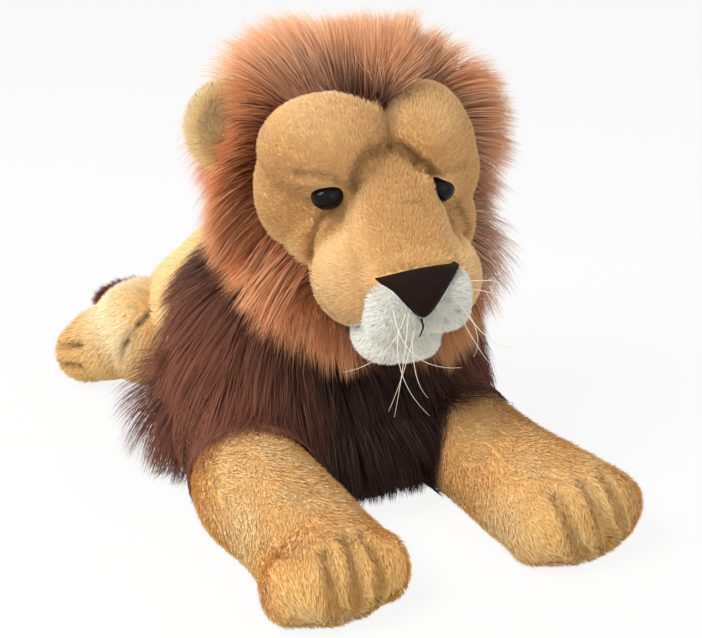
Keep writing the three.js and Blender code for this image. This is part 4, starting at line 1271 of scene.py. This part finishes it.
class LION_OT_head(bpy.types.Operator):
    """Stuffs the head, presses in its creases and gives it the face pile"""
    bl_idname = "lion.head"
    bl_label = "Head"

    def execute(self, context):
        shrink = 3
        sizes = pile_sizes()
        parts = [add_head_ball(place, half, shrink) for place, half in HEAD_BALLS + FACE_BALLS]
        tubes = []
        for rows in (SNOUT_ROWS, BRIDGE_ROWS):
            tubes += [add_tube(rows, shrink), *add_ends(rows, (16, 16), shrink, 0)]
        for piece in tubes:
            pick(piece)
            bpy.ops.object.transform_apply(location=True, rotation=True, scale=True)
            set_points(piece, out_of_head(points_of(piece) / MM))
        parts += tubes
        skin = mould("head_cloth", parts, voxel=2.6, rounds=6)
        creases = laid_on(skin, HEAD_CREASES, in_head=True)
        carve(skin, creases, in_head=True)
        settle(skin, 1)
        points = points_of(skin)
        for at in EYE_PLACES.values():
            points = push_out(points, out_of_head(at), np.full(3, EYE_SOCKET * MM))
        set_points(skin, points)
        add_to(
            skin, "head", "face_plush", "head_skin", "head_filling",
            padded=0.8, finish=finishes().face_cloth,
        )

        under_nose = covered_by(bpy.data.objects["nose_velvet"], 0.0005)

        def share(points):
            local = into_head(points)
            keep = 1 - smooth_step(0, 8, behind_face(local))
            for at in EYE_PLACES.values():
                keep *= np.linalg.norm((local - np.array(at)) / (np.array(EYE_HALF) + 1), axis=1) > 1
            for place, half in (*PAD_BALLS.values(), CHIN_BALL):
                keep *= np.linalg.norm((local - np.array(place)) / (np.array(half) + 1), axis=1) > 1
            return keep * (1 - under_nose(points)) + 1e-6

        def long(points):
            local = into_head(points)
            near = np.min([np.linalg.norm(local - np.array(at), axis=1) for at in EYE_PLACES.values()], 0)
            shorter = 1 - 0.5 * crease_share(local, creases, 0.8)
            return sizes.face_length * shorter * np.interp(near, [12, 26], [0.5, 1])

        def marks(points):
            return face_marks(points, creases)

        coat("face_pile", "head", "face_plush", skin, seed=51, comb=comb_face, long=long, lift=36,
             width=sizes.short_width * FACE_FINENESS, finish=finishes().face, marks=marks, share=share,
             lie=0.3, stray=0.09)
        return {"FINISHED"}


class LION_OT_muzzle(bpy.types.Operator):
    """Makes the white pads and the chin"""
    bl_idname = "lion.muzzle"
    bl_label = "Muzzle"

    def execute(self, context):
        sizes = pile_sizes()
        forms = {f"muzzle_pad_{side}": PAD_BALLS[side] for side in ("right", "left")} | {"chin": CHIN_BALL}
        flat = np.array([1, 0.4, 1])

        def marks(points):
            local = into_head(points)
            near = np.min([np.linalg.norm((local - np.array(dot)) * flat, axis=1) for dot in WHISKER_DOTS], 0)
            return {"dark": hill(near, 0, 1.8) * 0.6}

        under_nose = covered_by(bpy.data.objects["nose_velvet"], 0.0003)

        def nose_room(points):
            return 1 - under_nose(points) + 1e-6

        for number, (name, (place, half)) in enumerate(forms.items()):
            skin = mould(name + "_cloth", [add_head_ball(place, half, 2)], voxel=2.2, rounds=3)
            local = squarer(into_head(points_of(skin)), np.array(place), np.array(half) - 2)
            set_points(skin, out_of_head(local))
            settle(skin, 2)
            add_to(skin, "head", "white_plush", name, padded=0.7, finish=finishes().white_cloth)
            coat(name + "_pile", "head", "white_plush", skin, seed=61 + number, comb=comb_face,
                 long=PAD_PILE, lift=42, width=sizes.short_width, finish=finishes().white, marks=marks,
                 share=nose_room, lie=0.3)
        return {"FINISHED"}


class LION_OT_eyes(bpy.types.Operator):
    """Makes the glossy eyes and finishes the washers behind them"""
    bl_idname = "lion.eyes"
    bl_label = "Eyes"

    def execute(self, context):
        for side, place in EYE_PLACES.items():
            dome = add_head_ball(place, EYE_HALF, sides=48)
            pick(dome)
            bpy.ops.object.transform_apply(location=True, rotation=True, scale=True)
            bpy.ops.object.shade_smooth()
            dome.name = "eye_dome_" + side
            dome.data.name = dome.name
            add_to(dome, "head", "eye_plastic", "eye_" + side, finish=finishes().eye)
            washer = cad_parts["eye_washer_" + side]
            dress(washer, finishes().washer)
        return {"FINISHED"}


class LION_OT_ears(bpy.types.Operator):
    """Makes the cupped ears with their lining and pile"""
    bl_idname = "lion.ears"
    bl_label = "Ears"

    def execute(self, context):
        sizes = pile_sizes()
        for side, way in SIDES.items():
            centre = np.array(EAR_PLACES[side], float)
            outer = add_head_ball(centre, EAR_HALVES[side], 2)
            back = mould(f"ear_back_{side}_cloth", [outer], voxel=2.2, rounds=3)
            local = into_head(points_of(back)) - centre
            wide, high = EAR_CUP_HALF
            cup = np.clip(1 - (local[:, 0] / wide) ** 2 - (local[:, 2] / high) ** 2, 0, 1)
            local[:, 1] += np.where(local[:, 1] < 0, *EAR_CUP_DEPTHS) * cup
            set_points(back, out_of_head(local + centre))
            settle(back, 2)
            add_to(
                back, "ear_" + side, "golden_plush", "ear_back_" + side,
                padded=0.4, finish=finishes().gold_cloth,
            )
            inner = add_head_ball(centre + np.array([0, 2, 0]), EAR_LINING_HALF)
            lining = mould(f"ear_lining_{side}_cloth", [inner], voxel=2.0, rounds=3)
            add_to(
                lining, "ear_" + side, "golden_plush", "ear_lining_" + side,
                padded=0.3, finish=finishes().gold_cloth,
            )

            def comb(points, centre=centre):
                return (into_head(points) - centre + np.array([0, 8, 20])) @ HEAD_SPIN.T

            # Painted light: the whole ear pile is mixed towards the pale colour to lighten the shade in the
            # ear cups.
            def marks(points):
                return {"pale": np.full(len(points), 0.85), "dark": np.zeros(len(points))}

            for name, skin, seed in (("back", back, 71), ("lining", lining, 75)):
                coat(f"ear_{name}_{side}_pile", "ear_" + side, "golden_plush", skin, seed=seed + way,
                     comb=comb, long=EAR_PILE[name], lift=40, width=sizes.short_width,
                     finish=finishes().gold, marks=marks, lie=0.3)
        return {"FINISHED"}


class LION_OT_bib(bpy.types.Operator):
    """Makes the brown mane over chest and shoulders"""
    bl_idname = "lion.bib"
    bl_label = "Brown mane"

    def execute(self, context):
        sizes = pile_sizes()
        shrink = 24
        parts = [add_tube(BIB_ROWS, shrink), *add_ends(BIB_ROWS, (26, 18), shrink)]
        place, half = SKIRT_BALL
        parts += [add_ball((8 + way * place[0], *place[1:]), half, shrink=shrink) for way in SIDES.values()]
        skin = mould("bib_cloth", parts, voxel=5, rounds=8)
        set_points(skin, out_of_snout(points_of(skin), 10))
        settle(skin, 3)
        flatten_floor(skin)
        add_to(
            skin, "torso", "brown_long_pile", "mane_brown_bib",
            padded=0.6, finish=finishes().brown_cloth,
        )
        legs = [bpy.data.objects[name + "_cloth"] for name in LEG_ROWS]

        def long(points):
            share = np.interp(points[:, 2], [0.0, 0.03, 0.08, 0.2], [0.22, 0.46, 0.9, 1.0])
            left = smooth_step(-0.06, -0.1, points[:, 0])
            right = smooth_step(0.05, 0.11, points[:, 0]) * smooth_step(0.07, 0.12, points[:, 2])
            return sizes.brown_length * np.maximum(share, left * 1.1) * (1 - 0.12 * right)

        def lift(points):
            high = np.interp(points[:, 2], [0.02, 0.09, 0.2], [24, 20, 12])
            right = smooth_step(0.05, 0.11, points[:, 0]) * smooth_step(0.06, 0.1, points[:, 2])
            left = smooth_step(-0.05, -0.09, points[:, 0])
            left = left * spot(points, (-0.1, -0.02, 0.13), (0.09, 0.12, 0.09))
            return high * (1 - 0.4 * right) + 8 * left

        def below_rust(lines):
            return out_of_snout(lines, 16)

        coat("bib_pile", "torso", "brown_long_pile", skin, seed=81, comb=comb_bib, long=long, lift=lift,
             width=sizes.long_width, finish=finishes().brown, marks=bib_marks, steps=4, droop=0.7,
             stray=0.1, locks=((90, 0.35), (16, 0.35)), skins=legs, gap=0.006, fix=below_rust, parts=2,
             roll=50)
        return {"FINISHED"}


class LION_OT_mane(bpy.types.Operator):
    """Makes the rust mane round the face"""
    bl_idname = "lion.mane"
    bl_label = "Rust mane"

    def execute(self, context):
        sizes = pile_sizes()
        skin = bpy.data.objects["head_cloth"]
        around = [bpy.data.objects[name] for name in ("bib_cloth", "torso_cloth")]

        def share(points):
            local = into_head(points)
            behind = behind_face(local)
            gaps = [(local - np.array(place)) / np.array(EAR_REACH) for place in EAR_PLACES.values()]
            ear = np.min([np.linalg.norm(gap, axis=1) for gap in gaps], 0)
            by_ear = hill(turn_from_up(local), 62, 20) * (behind < 16) * smooth_step(-20, 20, local[:, 0])
            thick = 1 + 1.8 * hill(behind, 0, 14) + 3 * by_ear
            return smooth_step(-5, 1, behind) * thick * (ear > 0.55) + 1e-6

        def long(points):
            local = into_head(points)
            angle = turn_from_up(local)
            share = np.interp(angle, MANE_ANGLES, MANE_LENGTHS)
            by_ear = hill(angle, 64, 17) * (behind_face(local) < 16)
            right_ear, left_ear = by_ear * (local[:, 0] < 0), by_ear * (local[:, 0] > 0)
            behind_ear = hill(angle, 48, 14) * smooth_step(10, 26, behind_face(local)) * (local[:, 0] < 0)
            over = smooth_step(20, -40, local[:, 0]) * hill(angle, 30, 20)
            share = np.maximum(share, smooth_step(40, 70, local[:, 1]) * 1.05)
            change = 1 - 0.42 * right_ear - 0.02 * left_ear + 0.3 * behind_ear + 0.14 * over
            return sizes.rust_length * share * change

        def lift(points):
            local = into_head(points)
            behind = behind_face(local)
            beside = hill(turn_from_up(local), 62, 22) * 14
            right = smooth_step(20, 60, local[:, 0]) * smooth_step(75, 100, turn_from_up(local))
            high = np.interp(behind, [0, 25, 80], [60, 48, 30])
            return (high + beside * (behind < 14)) * (1 + 0.14 * right)

        def under_top(lines):
            room = MANE_TOP - MANE_EASE
            high = lines[:, :, 2] > room
            lines[high, 2] = room + MANE_EASE * np.tanh((lines[high, 2] - room) / MANE_EASE)
            return lines

        mane = coat("rust_mane", "head", "rust_long_pile", skin, seed=91, comb=comb_mane, long=long,
                    lift=lift, width=sizes.long_width, finish=finishes().rust, marks=mane_marks,
                    share=share, steps=4, droop=0.6, lie=0.1, stray=0.11,
                    locks=((110, 0.3), (18, 0.3)), skins=around, gap=0.022, fix=under_top, parts=2,
                    roll=50)
        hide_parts("mane_rust_head")
        return {"FINISHED"}


class LION_OT_neck(bpy.types.Operator):
    """Stuffs the neck between the head and the torso"""
    bl_idname = "lion.neck"
    bl_label = "Neck"

    def execute(self, context):
        low, high = (np.array(corner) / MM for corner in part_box("neck_filling"))
        ball = add_ball((low + high) / 2, (high - low) / 2, shrink=1)
        skin = mould("neck_stuffing", [ball], voxel=4, rounds=3)
        add_to(skin, "neck", "fibre_filling", "neck_filling", padded=0.9, finish=finishes().filling)
        return {"FINISHED"}


class LION_OT_tail(bpy.types.Operator):
    """Makes the tail and its brown tuft"""
    bl_idname = "lion.tail"
    bl_label = "Tail"

    def execute(self, context):
        sizes = pile_sizes()
        line = finer(TAIL_LINE, 4)
        parts = [add_ball(row[:3], (row[3],) * 3, shrink=4, sides=20) for row in line]
        skin = mould("tail_cloth", parts, voxel=3, rounds=6)
        flatten_floor(skin)
        add_to(
            skin, "tail", "golden_plush", "tail_skin", "tail_filling",
            padded=0.7, finish=finishes().gold_cloth,
        )
        coat("tail_pile", "tail", "golden_plush", skin, seed=101, comb=comb_tail, long=sizes.gold_length,
             lift=35, width=sizes.short_width, finish=finishes().gold, marks=body_marks)
        tuft = mould("tail_tuft_cloth", [add_ball(*TUFT_BALL)], voxel=2.5, rounds=3)
        add_to(tuft, "tail", "brown_long_pile", "tail_tuft", padded=0.6, finish=finishes().brown_cloth)

        def comb_tuft(points):
            return np.tile([-0.9, -0.1, 0.6], (len(points), 1))

        def tuft_marks(points):
            return {"dark": np.zeros(len(points)), "pale": np.full(len(points), 0.3)}

        coat("tail_tuft_pile", "tail", "brown_long_pile", tuft, seed=103, comb=comb_tuft, long=TUFT_PILE,
             lift=24, width=sizes.long_width, finish=finishes().brown, marks=tuft_marks, steps=4,
             droop=0.2, locks=((20, 0.5),), roll=50)
        return {"FINISHED"}


class LION_OT_whiskers(bpy.types.Operator):
    """Makes the nylon whiskers"""
    bl_idname = "lion.whiskers"
    bl_label = "Whiskers"

    def execute(self, context):
        for number, (way, across, up, out1, ahead1, drop1, out2, ahead2, drop2) in enumerate(WHISKERS, 1):
            side = "right" if way < 0 else "left"
            place, half = (np.array(value, float) for value in PAD_BALLS[side])
            ahead = math.sqrt(max(0.05, 1 - across ** 2 - up ** 2))
            root = place + half * np.array([-way * -across, -ahead, up]) * 0.98
            middle = root + np.array([way * out1, ahead1, drop1]) * WHISKER_LENGTH
            tip = root + np.array([way * out2, ahead2, drop2]) * WHISKER_LENGTH
            t = np.linspace(0, 1, 14)[:, None]
            line = root * (1 - t) * (1 - 2 * t) + middle * 4 * t * (1 - t) + tip * t * (2 * t - 1)
            hair = add_thread(out_of_head(line), WHISKER_RADIUS, 0.7)
            hair.name = f"whisker_hair_{side}_{number}"
            add_to(hair, "head", "whisker_nylon", f"whisker_{side}_{number}", finish=finishes().whisker)
        return {"FINISHED"}


class LION_OT_stage(bpy.types.Operator):
    """Sets up the camera, the softboxes, the floor and the white surround"""
    bl_idname = "lion.stage"
    bl_label = "Stage"

    def execute(self, context):
        scene = context.scene
        stage = scene.lion_stage
        scene.view_settings.view_transform = "Standard"
        camera = bpy.data.objects.new("camera", bpy.data.cameras.new("camera"))
        scene.collection.objects.link(camera)
        camera.location = CAMERA_PLACE
        camera.rotation_euler = Vector(CAMERA_WAY).to_track_quat("-Z", "Y").to_euler()
        camera.data.lens = stage.lens
        camera.data.sensor_width = 36
        camera.data.clip_start = 0.01
        scene.camera = camera
        self.lamp("key_softbox", KEY_PLACE, KEY_SIZE, stage.key_power)
        self.lamp("fill_softbox", FILL_PLACE, FILL_SIZE, stage.fill_power)
        self.surround(scene, stage.surround)
        clear_selection()
        bpy.ops.mesh.primitive_plane_add(size=FLOOR_SIZE, location=(0, 0, 0))
        floor = bpy.context.object
        floor.name = "floor"
        dress(floor, self.floor_finish())
        return {"FINISHED"}

    @staticmethod
    def lamp(name, place, size, power):
        data = bpy.data.lights.new(name, "AREA")
        data.shape = "DISK"
        data.size = size
        data.energy = power
        lamp = bpy.data.objects.new(name, data)
        bpy.context.scene.collection.objects.link(lamp)
        lamp.location = place
        lamp.rotation_euler = (Vector(LAMP_TARGET) - Vector(place)).to_track_quat("-Z", "Y").to_euler()

    @staticmethod
    def surround(scene, strength):
        scene.world = bpy.data.worlds.new("surround")
        recipe = Recipe(scene.world)
        seen = recipe.seen_by("Is Camera Ray", "Is Transmission Ray", "Is Glossy Ray")
        even = recipe.node("ShaderNodeBackground", {}, {"Color": WHITE, "Strength": strength})
        white = recipe.node("ShaderNodeBackground", {}, {"Color": WHITE, "Strength": 1.0})
        mixed = recipe.node("ShaderNodeMixShader", {}, {0: seen, 1: even, 2: white})
        recipe.close(mixed, "ShaderNodeOutputWorld")

    @staticmethod
    def floor_finish():
        recipe = Recipe.material("white_floor")
        seen = recipe.seen_by("Is Camera Ray", "Is Glossy Ray")
        plain = recipe.node("ShaderNodeBsdfDiffuse", {}, {"Color": FLOOR_SHADE})
        white = recipe.node("ShaderNodeEmission", {}, {"Color": WHITE, "Strength": 1.0})
        mixed = recipe.node("ShaderNodeMixShader", {}, {0: seen * 0.9, 1: plain, 2: white})
        return recipe.close(mixed, "ShaderNodeOutputMaterial")


STEPS = (
    LION_OT_stage, LION_OT_torso, LION_OT_front_legs, LION_OT_hind_legs, LION_OT_soles, LION_OT_nose,
    LION_OT_head, LION_OT_muzzle, LION_OT_eyes, LION_OT_ears, LION_OT_bib, LION_OT_mane,
    LION_OT_neck, LION_OT_tail, LION_OT_whiskers,
)


class LION_PT_panel(bpy.types.Panel):
    """Lists the steps of the plush lion"""
    bl_idname = "LION_PT_panel"
    bl_label = "Plush lion"
    bl_space_type = "VIEW_3D"
    bl_region_type = "UI"
    bl_category = "Plush lion"

    def draw(self, context):
        for step in STEPS:
            self.layout.operator(step.bl_idname)
        for group in (context.scene.lion_colours, context.scene.lion_pile, context.scene.lion_stage):
            box = self.layout.box()
            for key in group.__annotations__:
                box.prop(group, key)


CLASSES = (LionColours, LionPile, LionStage, *STEPS, LION_PT_panel)


def register():
    for item in CLASSES:
        bpy.utils.register_class(item)
    bpy.types.Scene.lion_colours = PointerProperty(type=LionColours)
    bpy.types.Scene.lion_pile = PointerProperty(type=LionPile)
    bpy.types.Scene.lion_stage = PointerProperty(type=LionStage)


def unregister():
    del bpy.types.Scene.lion_stage
    del bpy.types.Scene.lion_pile
    del bpy.types.Scene.lion_colours
    for item in reversed(CLASSES):
        bpy.utils.unregister_class(item)


def main():
    register()
    for step in STEPS:
        group, name = step.bl_idname.split(".")
        getattr(getattr(bpy.ops, group), name)()
    clear_selection()


if __name__ == "__main__":
    main()
